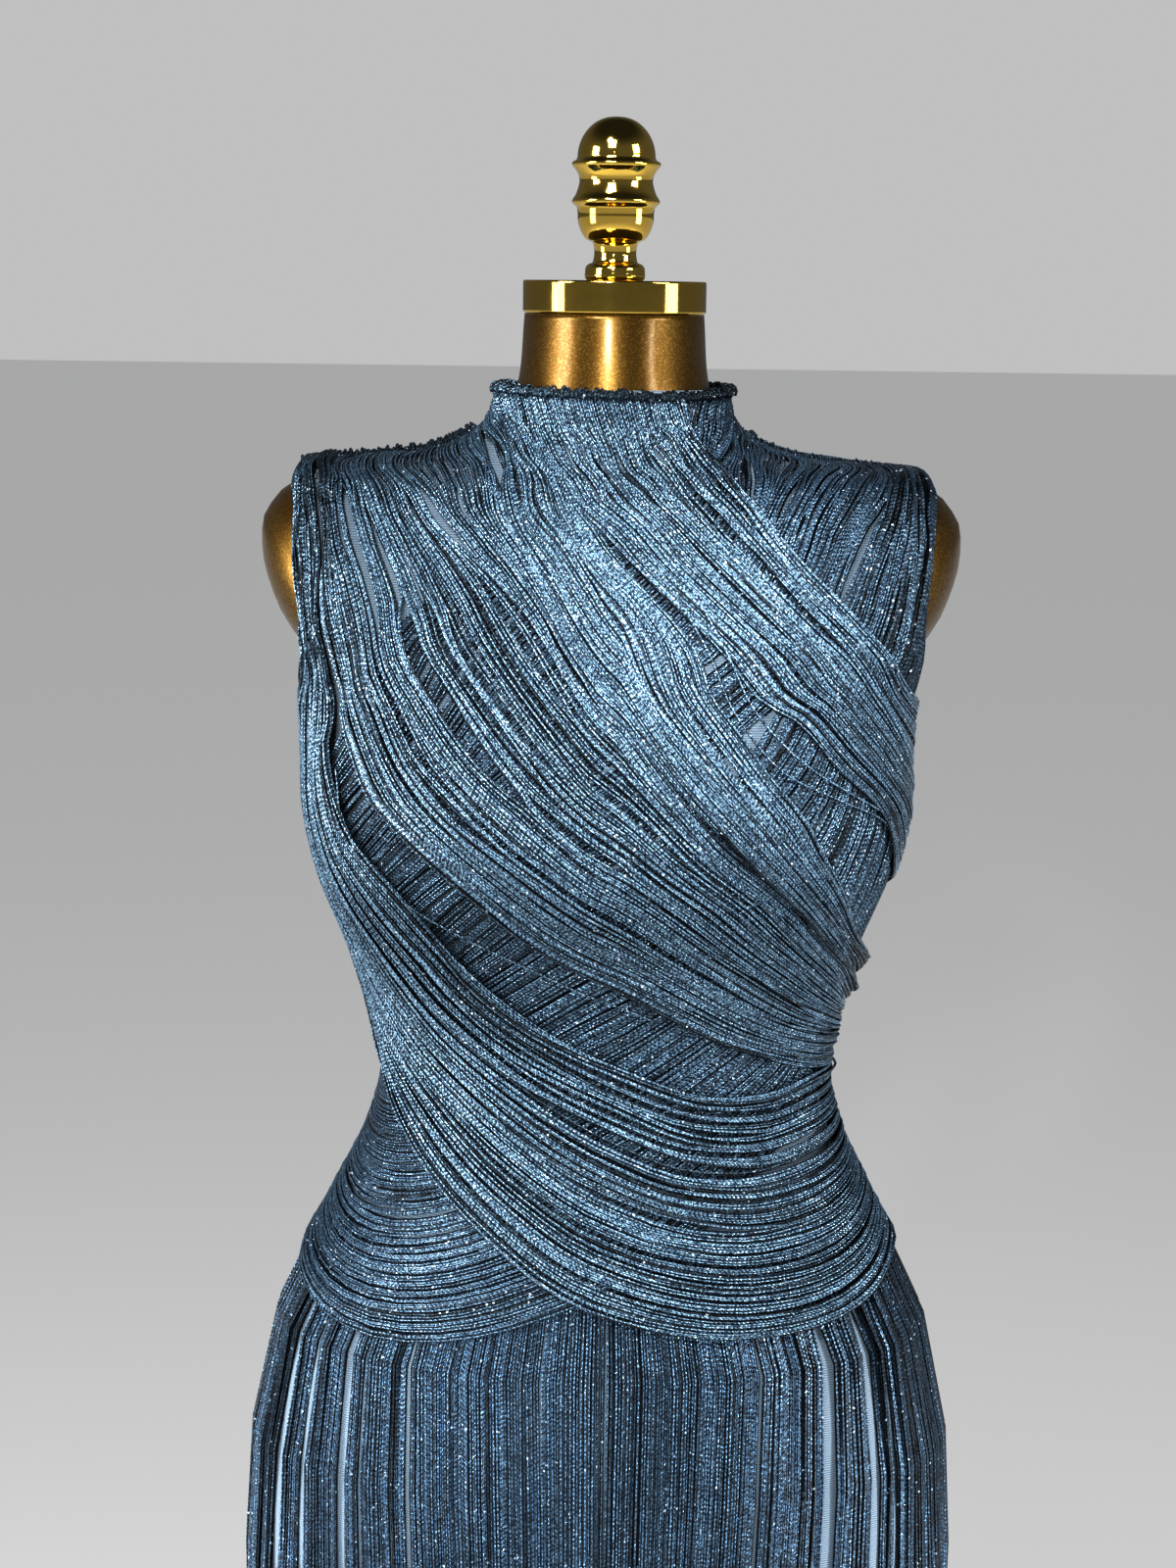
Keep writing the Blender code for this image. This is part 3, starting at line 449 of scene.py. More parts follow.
def welded(obj: bpy.types.Object) -> bpy.types.Object:
    """Join the points in which a piece's sheets of quads meet."""
    weld = obj.modifiers.new("weld", "WELD")
    weld.merge_threshold = WELD_REACH
    return obj


def in_frame(obj: bpy.types.Object, material: bpy.types.Material, slot: Slot,
             *nodes: str) -> bpy.types.Object:
    """Give a piece its material and its place in the frame.

    Args:
        obj: the piece.
        material: its material.
        slot: the record's slot; not used.
        nodes: the solids that it stands for.

    Returns:
        The piece.
    """
    obj.data.materials.append(material)
    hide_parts(*nodes)
    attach(obj, ROOT)
    return obj


# ---- shader groups ------------------------------------------------------------------------
class Links:
    """A node tree with short ways to add nodes and join them."""

    def __init__(self, tree: bpy.types.NodeTree) -> None:
        """Keep the tree."""
        self.tree = tree

    def node(self, kind: str, **values: object) -> bpy.types.Node:
        """Add a node and set its properties, or its inputs by name."""
        made = self.tree.nodes.new(kind)
        for name, value in values.items():
            if hasattr(made, name):
                setattr(made, name, value)
            else:
                made.inputs[name.replace("_", " ")].default_value = value
        return made

    def join(self, source: bpy.types.NodeSocket, target: bpy.types.NodeSocket) -> None:
        """Join two sockets."""
        self.tree.links.new(source, target)

    def math(self, operation: str, first: object, second: object = 0.0) -> bpy.types.NodeSocket:
        """A Math node on sockets or numbers."""
        made = self.tree.nodes.new("ShaderNodeMath")
        made.operation = operation
        for socket, value in zip(made.inputs, (first, second)):
            if isinstance(value, bpy.types.NodeSocket):
                self.join(value, socket)
            else:
                socket.default_value = value
        return made.outputs[0]

    def mix(self, share: object, first: object, second: object) -> bpy.types.NodeSocket:
        """A colour Mix node on sockets or colours."""
        made = self.tree.nodes.new("ShaderNodeMix")
        made.data_type = "RGBA"
        for socket, value in ((made.inputs[0], share), (made.inputs[6], first), (made.inputs[7], second)):
            if isinstance(value, bpy.types.NodeSocket):
                self.join(value, socket)
            else:
                socket.default_value = value
        return made.outputs[2]

    def step(self, value: bpy.types.NodeSocket, low: float, high: float) -> bpy.types.NodeSocket:
        """A smooth rise from 0 at low to 1 at high."""
        made = self.tree.nodes.new("ShaderNodeMapRange")
        made.interpolation_type = "SMOOTHSTEP"
        self.join(value, made.inputs[0])
        made.inputs[1].default_value = low
        made.inputs[2].default_value = high
        return made.outputs[0]


def new_group(name: str, inputs: dict[str, object], outputs: dict[str, str]) -> tuple:
    """Make a shader node group.

    Args:
        name: the group's name.
        inputs: default of each input, a number or a colour.
        outputs: socket type of each output.

    Returns:
        The links of the group's tree, its input node and its output node.
    """
    tree = bpy.data.node_groups.new(name, "ShaderNodeTree")
    for label, default in inputs.items():
        kind = "NodeSocketFloat" if isinstance(default, float) else "NodeSocketColor"
        socket = tree.interface.new_socket(label, in_out="INPUT", socket_type=kind)
        socket.default_value = default
    for label, kind in outputs.items():
        tree.interface.new_socket(label, in_out="OUTPUT", socket_type=kind)
    links = Links(tree)
    return links, links.node("NodeGroupInput"), links.node("NodeGroupOutput")


def twisted_yarn_group() -> bpy.types.NodeTree:
    """Twisted yarn with a metallic thread: colour, metal, roughness and normal; the colour carries painted
    shade on the sides and underside of each strand and painted glints as pale flecks.
    """
    found = bpy.data.node_groups.get("twisted_yarn")
    if found:
        return found
    links, given, made = new_group(
        "twisted_yarn",
        {"Yarn": (0.02, 0.05, 0.10, 1.0), "Thread": (0.3, 0.45, 0.6, 1.0),
         "Painted Glint": (0.8, 0.9, 1.0, 1.0), "Pitch": 0.0015, "Painted Glint Share": 0.06, "Uneven": 0.5,
         "Glitter": 0.9, "Painted Crevice Shade": 0.1},
        {"Color": "NodeSocketColor", "Metal": "NodeSocketFloat", "Roughness": "NodeSocketFloat",
         "Normal": "NodeSocketVector"})
    along = links.node("ShaderNodeAttribute", attribute_name="along").outputs["Fac"]
    strand = links.node("ShaderNodeAttribute", attribute_name="strand").outputs["Fac"]
    turn = links.node("ShaderNodeAttribute", attribute_name="turn").outputs["Vector"]
    split = links.node("ShaderNodeSeparateXYZ")
    links.join(turn, split.inputs[0])
    phase = links.math("MULTIPLY", links.math("DIVIDE", along, given.outputs["Pitch"]), 2 * math.pi)
    helix = links.math("ADD",
                       links.math("MULTIPLY", links.math("SINE", phase), split.outputs[0]),
                       links.math("MULTIPLY", links.math("COSINE", phase), split.outputs[1]))
    place = links.node("ShaderNodeTexCoord").outputs["Object"]
    soft = links.node("ShaderNodeTexNoise", Scale=130.0, Detail=3.0)
    links.join(place, soft.inputs["Vector"])
    cells = links.node("ShaderNodeTexVoronoi", Scale=1050.0)
    links.join(place, cells.inputs["Vector"])
    lot = links.node("ShaderNodeSeparateColor")
    links.join(cells.outputs["Color"], lot.inputs[0])
    shine = links.math("ADD", links.math("MULTIPLY", helix, 0.42), lot.outputs[0])
    thread_share = links.step(shine, 0.15, 1.0)
    # Painted glints: a small share of cells gets a pale colour in the base colour, standing in for sparkles
    # of light off the metallic thread.
    limit = links.math("SUBTRACT", 1.0, given.outputs["Painted Glint Share"])
    painted_glint = links.math("GREATER_THAN", lot.outputs[1], limit)
    # The strand value gives each strand a random tone; underlay strands carry a lower value, which paints
    # them darker as painted shade.
    lean = links.math("MULTIPLY", links.math("SUBTRACT", strand, 0.5), given.outputs["Uneven"])
    cloud = links.math("MULTIPLY", links.math("SUBTRACT", soft.outputs[0], 0.5), 0.7)
    base = links.mix(thread_share, given.outputs["Yarn"], given.outputs["Thread"])
    shaded = links.node("ShaderNodeHueSaturation")
    links.join(base, shaded.inputs["Color"])
    # Painted shade: each tube's colour is darkest on its sides and underside and brightest on the side
    # facing out from the body, standing in for the shade between and under strands.
    outer = links.math("ADD", given.outputs["Painted Crevice Shade"],
                       links.math("MULTIPLY", links.step(split.outputs[1], 0.05, 0.85), 1.3))
    tone = links.math("ADD", 1.0, links.math("ADD", lean, cloud))
    links.join(links.math("MULTIPLY", tone, outer), shaded.inputs["Value"])
    with_painted_glint = links.mix(painted_glint, shaded.outputs[0], given.outputs["Painted Glint"])
    links.join(with_painted_glint, made.inputs["Color"])
    links.join(links.math("MULTIPLY", thread_share, 0.92), made.inputs["Metal"])
    links.join(links.math("SUBTRACT", 0.40, links.math("MULTIPLY", thread_share, 0.14)),
               made.inputs["Roughness"])
    bump = links.node("ShaderNodeBump", Strength=0.6, Distance=0.0003)
    links.join(helix, bump.inputs["Height"])
    facet = links.node("ShaderNodeVectorMath", operation="SUBTRACT")
    links.join(cells.outputs["Color"], facet.inputs[0])
    facet.inputs[1].default_value = (0.5, 0.5, 0.5)
    scaled = links.node("ShaderNodeVectorMath", operation="SCALE")
    links.join(facet.outputs[0], scaled.inputs[0])
    links.join(given.outputs["Glitter"], scaled.inputs["Scale"])
    tilted = links.node("ShaderNodeVectorMath", operation="ADD")
    links.join(bump.outputs["Normal"], tilted.inputs[0])
    links.join(scaled.outputs[0], tilted.inputs[1])
    unit = links.node("ShaderNodeVectorMath", operation="NORMALIZE")
    links.join(tilted.outputs[0], unit.inputs[0])
    links.join(unit.outputs[0], made.inputs["Normal"])
    return links.tree


def flake_group() -> bpy.types.NodeTree:
    """Fine metal flakes in paint: a mask and a height."""
    found = bpy.data.node_groups.get("paint_flake")
    if found:
        return found
    links, given, made = new_group(
        "paint_flake", {"Scale": 900.0, "Share": 0.2},
        {"Mask": "NodeSocketFloat", "Height": "NodeSocketFloat"})
    place = links.node("ShaderNodeTexCoord").outputs["Object"]
    cells = links.node("ShaderNodeTexVoronoi")
    links.join(place, cells.inputs["Vector"])
    links.join(given.outputs["Scale"], cells.inputs["Scale"])
    lot = links.node("ShaderNodeSeparateColor")
    links.join(cells.outputs["Color"], lot.inputs[0])
    limit = links.math("SUBTRACT", 1.0, given.outputs["Share"])
    links.join(links.math("GREATER_THAN", lot.outputs[0], limit), made.inputs["Mask"])
    links.join(lot.outputs[1], made.inputs["Height"])
    return links.tree


def smudge_group() -> bpy.types.NodeTree:
    """Handling marks on metal: a slow mask from 0 to 1."""
    found = bpy.data.node_groups.get("smudge")
    if found:
        return found
    links, given, made = new_group("smudge", {"Scale": 30.0}, {"Mask": "NodeSocketFloat"})
    place = links.node("ShaderNodeTexCoord").outputs["Object"]
    cloud = links.node("ShaderNodeTexNoise", Detail=5.0, Roughness=0.65)
    links.join(place, cloud.inputs["Vector"])
    links.join(given.outputs["Scale"], cloud.inputs["Scale"])
    links.join(links.step(cloud.outputs[0], 0.35, 0.75), made.inputs["Mask"])
    return links.tree


# ---- finishes -----------------------------------------------------------------------------
Colour = tuple[float, float, float]


def start_material(name: str) -> tuple:
    """A new material with its links and its Principled shader."""
    made = bpy.data.materials.new(name)
    made.use_nodes = True
    links = Links(made.node_tree)
    return made, links, made.node_tree.nodes["Principled BSDF"]


@dataclass(frozen=True)
class Finish:
    """A finish with one material."""

    name: str

    def material(self) -> bpy.types.Material:
        """The finish's material, made at its first use."""
        found = bpy.data.materials.get(self.name)
        if found:
            return found
        made, links, shader = start_material(self.name)
        self.connect(links, shader)
        return made

    def connect(self, links: Links, shader: bpy.types.Node) -> None:
        """Set the sockets of the Principled shader, which each finish does in its own way."""
        raise NotImplementedError


@dataclass(frozen=True)
class YarnFinish(Finish):
    """Twisted yarn with a metallic thread."""

    yarn: Colour
    thread: Colour
    # Painted glints: the pale colour of the flecks and their share, standing in for sparkles of light off
    # the thread.
    painted_glint: Colour = (0.72, 0.84, 0.95)
    painted_glint_share: float = 0.008
    uneven: float = 0.55
    pitch: float = 0.0024
    glitter: float = 0.20
    # Painted shade: how dark the sides and underside of each strand are painted.
    painted_crevice_shade: float = 0.10
    sheen: float = 0.02

    def connect(self, links: Links, shader: bpy.types.Node) -> None:
        """Set the shader's sockets."""
        group = links.node("ShaderNodeGroup", node_tree=twisted_yarn_group())
        group.inputs["Yarn"].default_value = (*self.yarn, 1.0)
        group.inputs["Thread"].default_value = (*self.thread, 1.0)
        group.inputs["Painted Glint"].default_value = (*self.painted_glint, 1.0)
        group.inputs["Pitch"].default_value = self.pitch
        group.inputs["Painted Glint Share"].default_value = self.painted_glint_share
        group.inputs["Uneven"].default_value = self.uneven
        group.inputs["Glitter"].default_value = self.glitter
        group.inputs["Painted Crevice Shade"].default_value = self.painted_crevice_shade
        links.join(group.outputs["Color"], shader.inputs["Base Color"])
        links.join(group.outputs["Metal"], shader.inputs["Metallic"])
        links.join(group.outputs["Roughness"], shader.inputs["Roughness"])
        links.join(group.outputs["Normal"], shader.inputs["Normal"])
        shader.inputs["Specular IOR Level"].default_value = 0.25
        shader.inputs["Sheen Weight"].default_value = self.sheen
        shader.inputs["Sheen Roughness"].default_value = 0.4
        shader.inputs["Sheen Tint"].default_value = (0.7, 0.82, 1.0, 1.0)


@dataclass(frozen=True)
class KnitFinish(Finish):
    """Fine knit with level ribs, with painted shade in the grooves between them and a real bump."""

    crest: Colour
    painted_groove_shade: Colour
    rib: float = 0.0012

    def connect(self, links: Links, shader: bpy.types.Node) -> None:
        """Set the shader's sockets."""
        place = links.node("ShaderNodeTexCoord").outputs["Object"]
        split = links.node("ShaderNodeSeparateXYZ")
        links.join(place, split.inputs[0])
        drift = links.node("ShaderNodeTexNoise", Scale=45.0, Detail=2.0)
        links.join(place, drift.inputs["Vector"])
        height = links.math("ADD", split.outputs[2], links.math("MULTIPLY", drift.outputs[0], 0.0016))
        rib = links.math("SINE", links.math("MULTIPLY", height, 2 * math.pi / self.rib))
        level = links.math("ADD", links.math("MULTIPLY", rib, 0.5), 0.5)
        cloud = links.node("ShaderNodeTexNoise", Scale=600.0, Detail=2.0)
        links.join(place, cloud.inputs["Vector"])
        grain = links.math("ADD", 0.55, links.math("MULTIPLY", cloud.outputs[0], 0.7))
        share = links.math("MULTIPLY", level, grain)
        # Painted shade: the grooves between ribs get the darker colour; the same rib height also drives a
        # real bump.
        colour = links.mix(share, (*self.painted_groove_shade, 1.0), (*self.crest, 1.0))
        links.join(colour, shader.inputs["Base Color"])
        bump = links.node("ShaderNodeBump", Strength=0.6, Distance=0.0004)
        links.join(share, bump.inputs["Height"])
        links.join(bump.outputs["Normal"], shader.inputs["Normal"])
        links.join(links.math("SUBTRACT", 0.85, links.math("MULTIPLY", share, 0.2)),
                   shader.inputs["Roughness"])
        shader.inputs["Sheen Weight"].default_value = 0.3
        shader.inputs["Sheen Roughness"].default_value = 0.5


@dataclass(frozen=True)
class PaintFinish(Finish):
    """Satin metallic paint with fine flake under a clear coat."""

    base: Colour
    flake: Colour

    def connect(self, links: Links, shader: bpy.types.Node) -> None:
        """Set the shader's sockets."""
        flakes = links.node("ShaderNodeGroup", node_tree=flake_group())
        flakes.inputs["Scale"].default_value = 1500.0
        flakes.inputs["Share"].default_value = 0.28
        cloud = links.node("ShaderNodeGroup", node_tree=smudge_group())
        cloud.inputs["Scale"].default_value = 9.0
        deep = tuple(part * 0.8 for part in self.base)
        base = links.mix(cloud.outputs["Mask"], (*self.base, 1.0), (*deep, 1.0))
        links.join(links.mix(links.math("MULTIPLY", flakes.outputs["Mask"], 0.6), base, (*self.flake, 1.0)),
                   shader.inputs["Base Color"])
        links.join(links.math("ADD", 0.30, links.math("MULTIPLY", cloud.outputs["Mask"], 0.06)),
                   shader.inputs["Roughness"])
        bump = links.node("ShaderNodeBump", Strength=0.10, Distance=0.0002)
        links.join(flakes.outputs["Height"], bump.inputs["Height"])
        links.join(bump.outputs["Normal"], shader.inputs["Normal"])
        shader.inputs["Metallic"].default_value = 0.85
        shader.inputs["Coat Weight"].default_value = 0.35
        shader.inputs["Coat Roughness"].default_value = 0.18


@dataclass(frozen=True)
class PolishedFinish(Finish):
    """Polished yellow plating."""

    base: Colour
    roughness: float

    def connect(self, links: Links, shader: bpy.types.Node) -> None:
        """Set the shader's sockets."""
        cloud = links.node("ShaderNodeGroup", node_tree=smudge_group())
        cloud.inputs["Scale"].default_value = 28.0
        dull = tuple(part * 0.88 for part in self.base)
        links.join(links.mix(cloud.outputs["Mask"], (*self.base, 1.0), (*dull, 1.0)),
                   shader.inputs["Base Color"])
        links.join(links.math("ADD", self.roughness, links.math("MULTIPLY", cloud.outputs["Mask"], 0.05)),
                   shader.inputs["Roughness"])
        shader.inputs["Metallic"].default_value = 1.0


OVER_YARN = YarnFinish("over_yarn", (0.004, 0.018, 0.042), (0.285, 0.440, 0.570))
# Painted shade: the under drape's yarn is a darker copy of the over drape's yarn, standing in for the shade
# under the over drape.
SHADED_UNDER_YARN = YarnFinish("under_yarn_painted_shade", (0.003, 0.014, 0.034), (0.195, 0.310, 0.420))
HUNG_YARN = YarnFinish("hung_yarn", (0.003, 0.012, 0.028), (0.120, 0.210, 0.310),
                       painted_glint=(0.45, 0.60, 0.74), painted_glint_share=0.006)
KNIT = KnitFinish("rib_knit", (0.26, 0.35, 0.43), (0.10, 0.15, 0.21))
FORM_PAINT = PaintFinish("satin_gold_paint", (0.125, 0.064, 0.006), (0.25, 0.155, 0.030))
BRASS = PolishedFinish("polished_brass", (0.86, 0.60, 0.13), 0.06)


# ---- fringe -------------------------------------------------------------------------------
@dataclass(frozen=True)
class Split:
    """A lens-shaped parting between strands, from one place on the body to another."""

    start: Place
    end: Place
    width: float
    reach: float
    peak: float = 0.5
    blunt: float = 0.7

    def opening(self, opened: np.ndarray) -> np.ndarray:
        """Share of the full width at shares of the parting's length."""
        shifted = np.clip(opened, 0.0, 1.0) ** (math.log(0.5) / math.log(self.peak))
        return np.clip(np.sin(math.pi * shifted), 0.0, 1.0) ** self.blunt


@dataclass(frozen=True)
class Layer:
    """How one layer of a sheet's strands is laid."""

    count_share: float
    lower: float
    thicker: float
    sides: int
    seed: int
    # Painted shade: how much darker this layer's yarn is painted.
    painted_shade_drop: float = 0.0


@dataclass
class FringeSheet:
    """Strands laid side by side between lanes, from a sewn edge to their ends."""

    name: str
    lanes: Sequence[Lane]
    counts: Sequence[int]
    start_lift: float
    full_lift: float
    start_share: float
    finish: YarnFinish
    slot: Slot
    nodes: Sequence[str]
    splits: Sequence[Split] = ()
    strays: Sequence[Lane] = ()
    pull: Sequence[float] = (0.0,)
    pull_run: tuple[float, float, float, float] = (0.05, 0.25, 0.55, 0.80)
    bundle_size: tuple[int, int] = (2, 6)
    stations: int = 70
    drift: float = 0.0010
    slow_drift: float = 0.0016
    uneven_ends: float = 0.0
    settled_ends: float = 0.04
    underlay: float = 0.0
    underlay_thicker: float = 1.25
    most_layers: float = 3.5
    rest: Lane = ()
    sink: float = 0.0
    seed: int = 1

    FINE_POINTS: ClassVar[int] = 500  # points of a lane from which its stations are chosen
    LONGEST_STEP: ClassVar[float] = 0.030
    WIDEST_TURN: ClassVar[float] = 0.2356  # radians
    LEAST_SPACING: ClassVar[float] = 0.004
    UNDERLAY_DEPTH: ClassVar[float] = 0.0006
    # Painted shade: the underlay strands, deep in the pile, are painted darker.
    UNDERLAY_PAINTED_SHADE: ClassVar[float] = 1.1
    STRAY_RISE: ClassVar[float] = 0.0012
    HEIGHT_PLAY: ClassVar[float] = 0.0007

    def curve(self, body: Body, lane: Lane) -> np.ndarray:
        """Stations of one lane: (angle, level), closer together where the body turns."""
        points = np.array(lane, float)
        scaled = points * np.array((DEGREE, 1.0))
        reach = np.sqrt(np.linalg.norm(np.diff(scaled, axis=0), axis=1))
        keys = np.concatenate(([0.0], np.cumsum(reach)))
        fine = hermite_rows(keys, points, np.linspace(0.0, keys[-1], self.FINE_POINTS))
        places = body.point(fine[:, 0], fine[:, 1])
        normals = body.normal(fine[:, 0], fine[:, 1])
        steps = np.linalg.norm(np.diff(places, axis=0), axis=1)
        turns = np.linalg.norm(np.diff(normals, axis=0), axis=1)
        efforts = np.maximum(steps / self.LONGEST_STEP, turns / self.WIDEST_TURN)
        effort = np.concatenate(([0.0], np.cumsum(efforts)))
        wanted = np.linspace(0.0, effort[-1], self.stations)
        return np.stack([np.interp(wanted, effort, fine[:, axis]) for axis in (0, 1)], axis=-1)

    def places(self, curves: np.ndarray, across: np.ndarray, run: np.ndarray) -> np.ndarray:
        """Angles and levels at a lane number across and a share of the run."""
        lane = np.clip(np.floor(across).astype(int), 0, len(curves) - 2)
        share = (across - lane)[..., None]
        station = np.clip(run, 0.0, 1.0) * (self.stations - 1)
        row = np.clip(np.floor(station).astype(int), 0, self.stations - 2)
        part = (station - row)[..., None]

        def at(which: np.ndarray) -> np.ndarray:
            """One lane's places at the run."""
            return curves[which, row] * (1 - part) + curves[which, row + 1] * part

        return at(lane) * (1 - share) + at(lane + 1) * share

    def spacing(self, body: Body, curves: np.ndarray) -> np.ndarray:
        """Distance square to the strands from each lane to the next, at each station."""
        points = body.point(curves[..., 0], curves[..., 1])
        tangent = np.gradient(points, axis=1)
        tangent /= np.linalg.norm(tangent, axis=-1, keepdims=True)
        aside = points[1:] - points[:-1]
        direction = tangent[1:] + tangent[:-1]
        direction /= np.linalg.norm(direction, axis=-1, keepdims=True)
        aside -= direction * np.sum(aside * direction, axis=-1, keepdims=True)
        return np.maximum(np.linalg.norm(aside, axis=-1), self.LEAST_SPACING)

    def find(self, curves: np.ndarray, place: Place) -> tuple[float, float]:
        """The lane number and share of the run nearest to a place."""
        across, run = np.meshgrid(np.linspace(0, len(curves) - 1, 24 * len(curves)),
                                  np.linspace(0, 1, 3 * self.stations), indexing="ij")
        found = self.places(curves, across, run)
        away = (found - np.array(place)) * np.array((DEGREE, 1.0))
        nearest = np.argmin(np.sum(away ** 2, axis=-1))
        return float(across.ravel()[nearest]), float(run.ravel()[nearest])

    def sunk(self, place: np.ndarray) -> np.ndarray:
        """How much lower the strands lie where no other drape is under them."""
        if not self.rest:
            return np.zeros(place.shape[:-1])
        edge = np.array(self.rest)[::-1]
        above = place[..., 1] - np.interp(place[..., 0], edge[:, 0], edge[:, 1])
        bare = smooth_rise(above, -0.003, 0.013)
        front = smooth_rise(place[..., 0], -76.0, -58.0)
        collar = 0.5 * smooth_rise(place[..., 1], 1.424, 1.440)
        tip = 0.6 * smooth_rise(place[..., 1], 1.330, 1.372)
        behind = 0.75 * smooth_rise(place[..., 0], 80.0, 94.0)
        return self.sink * np.maximum(bare * np.maximum(front, np.maximum(collar, tip)), behind)

    def numbers(self, rng: np.random.Generator, count_share: float) -> tuple[np.ndarray, np.ndarray]:
        """Lane numbers of the strands, and the lane number of the middle of each one's bundle."""
        numbers = []
        for lane, count in enumerate(self.counts):
            amount = max(1, round(count * count_share))
            numbers.append(lane + (np.arange(amount) + rng.uniform(0.25, 0.75, amount)) / amount)
        number = np.concatenate(numbers)
        middle = np.empty_like(number)
        start = 0
        while start < len(number):
            end = start + int(rng.integers(self.bundle_size[0], self.bundle_size[1] + 1))
            middle[start:end] = number[start:end].mean()
            start = end
        return number, middle

    def spread(self, curves: np.ndarray, gaps: np.ndarray, number: np.ndarray, middle: np.ndarray,
               run: np.ndarray, rng: np.random.Generator) -> np.ndarray:
        """Draw strands into bundles, let them drift and push them aside from the partings.

        Args:
            curves: stations of the lanes.
            gaps: distance between lanes.
            number: lane number of each strand.
            middle: lane number of the middle of each strand's bundle.
            run: share of the run at each station of each strand.
            rng: the layer's own random numbers.

        Returns:
            The lane number of each strand at each station.
        """
        across = np.repeat(number[:, None], self.stations, axis=1)
        lane = np.clip(np.floor(across).astype(int), 0, len(gaps) - 1)
        station = np.clip(np.rint(run * (self.stations - 1)).astype(int), 0, self.stations - 1)
        width = gaps[lane, station]
        share = across / (len(curves) - 1)
        calm = np.clip(run / 0.10, 0.0, 1.0) * np.clip((1.0 - run) / self.settled_ends, 0.0, 1.0)
        strength = np.interp(across, np.arange(len(self.pull)), self.pull)
        rise = np.interp(run, self.pull_run, (0.0, 1.0, 1.0, 0.0))
        alive = Wander(self.seed + 3, len(number), 9)
        order = np.repeat(middle[:, None] / (len(curves) - 1), self.stations, axis=1)
        tight = np.clip(strength * rise * (1.0 + 0.45 * alive(order, run)), 0.0, 0.92)
        across = across + (middle[:, None] - across) * tight
        mean_width = float(np.mean(np.sum(gaps, axis=0)))
        slow = Wander(self.seed, max(3, int(mean_width / 0.012)), 7)
        own = Wander(self.seed + 1, len(number) * 3, 12)
        lot = np.repeat(rng.permutation(len(number))[:, None] / len(number), self.stations, axis=1)
        aside = (self.slow_drift * slow(share, run) + self.drift * own(lot, run)) * calm
        for split in self.splits:
            start = self.find(curves, split.start)
            end = self.find(curves, split.end)
            centre = (start[0] + end[0]) / 2
            opened = (run - start[1]) / max(end[1] - start[1], 1e-3)
            away = (number[:, None] - centre) * width
            push = np.sign(away) * split.width / 2 * np.exp(-np.abs(away) / split.reach)
            aside = aside + split.opening(opened) * push
        return across + aside / width

    def tubes(self, body: Body, parts: MeshParts, layer: Layer) -> None:
        """Add one layer of strands."""
        rng = np.random.default_rng(layer.seed)
        curves = np.stack([self.curve(body, lane) for lane in self.lanes])
        gaps = self.spacing(body, curves)
        number, middle = self.numbers(rng, layer.count_share)
        ends = 1.0 - rng.uniform(0.0, 1.0, len(number)) * self.uneven_ends
        run = np.linspace(0.0, 1.0, self.stations)[None, :] * ends[:, None]
        across = self.spread(curves, gaps, number, middle, run, rng)
        place = self.places(curves, across, run)
        centre = body.point(place[..., 0], place[..., 1])
        step = np.linalg.norm(np.gradient(centre, axis=0), axis=-1)
        padded = np.pad(step, ((3, 3), (0, 0)), "edge")
        step = sum(padded[shift:shift + len(number)] for shift in range(7)) / 7
        diameter = 2 * STRAND_RADIUS * layer.thicker
        layers = np.clip(diameter / np.maximum(step, 1e-4) - 0.9, 0.0, self.most_layers)
        own = Wander(layer.seed + 7, len(number) * 2, max(3, self.stations // 7))
        lot = np.repeat(rng.permutation(len(number))[:, None] / len(number), self.stations, axis=1)
        height = np.clip(0.5 + 0.75 * own(lot, run), 0.0, 1.0)
        rise = np.clip(run / self.start_share, 0.0, 1.0)
        lift = self.start_lift + (self.full_lift - self.start_lift) * rise - layer.lower
        lift = lift + STRAND_RADIUS + layers * height * diameter * 0.85 + height * self.HEIGHT_PLAY
        lift = lift - self.sunk(place)
        points = body.lifted(place[..., 0], place[..., 1], lift)
        normals = body.normal(place[..., 0], place[..., 1])
        parts.add_tubes(points, normals, STRAND_RADIUS * layer.thicker, layer.sides, layer.seed,
                        layer.painted_shade_drop)

    def build(self, body: Body) -> bpy.types.Object:
        """Build the strands as one piece."""
        parts = MeshParts()
        self.tubes(body, parts, Layer(1.0, 0.0, 1.0, 4, self.seed + 20))
        if self.underlay:
            self.tubes(body, parts, Layer(self.underlay, self.UNDERLAY_DEPTH, self.underlay_thicker,
                                          3, self.seed + 40, self.UNDERLAY_PAINTED_SHADE))
        for place, lane in enumerate(self.strays):
            curve = self.curve(body, lane)[None]
            lift = self.full_lift + self.STRAY_RISE - self.sunk(curve)
            points = body.lifted(curve[..., 0], curve[..., 1], lift)
            normals = body.normal(curve[..., 0], curve[..., 1])
            parts.add_tubes(points, normals, STRAND_RADIUS, 4, self.seed + 60 + place)
        strands = parts.to_object(self.name)
        return in_frame(strands, self.finish.material(), self.slot, *self.nodes)


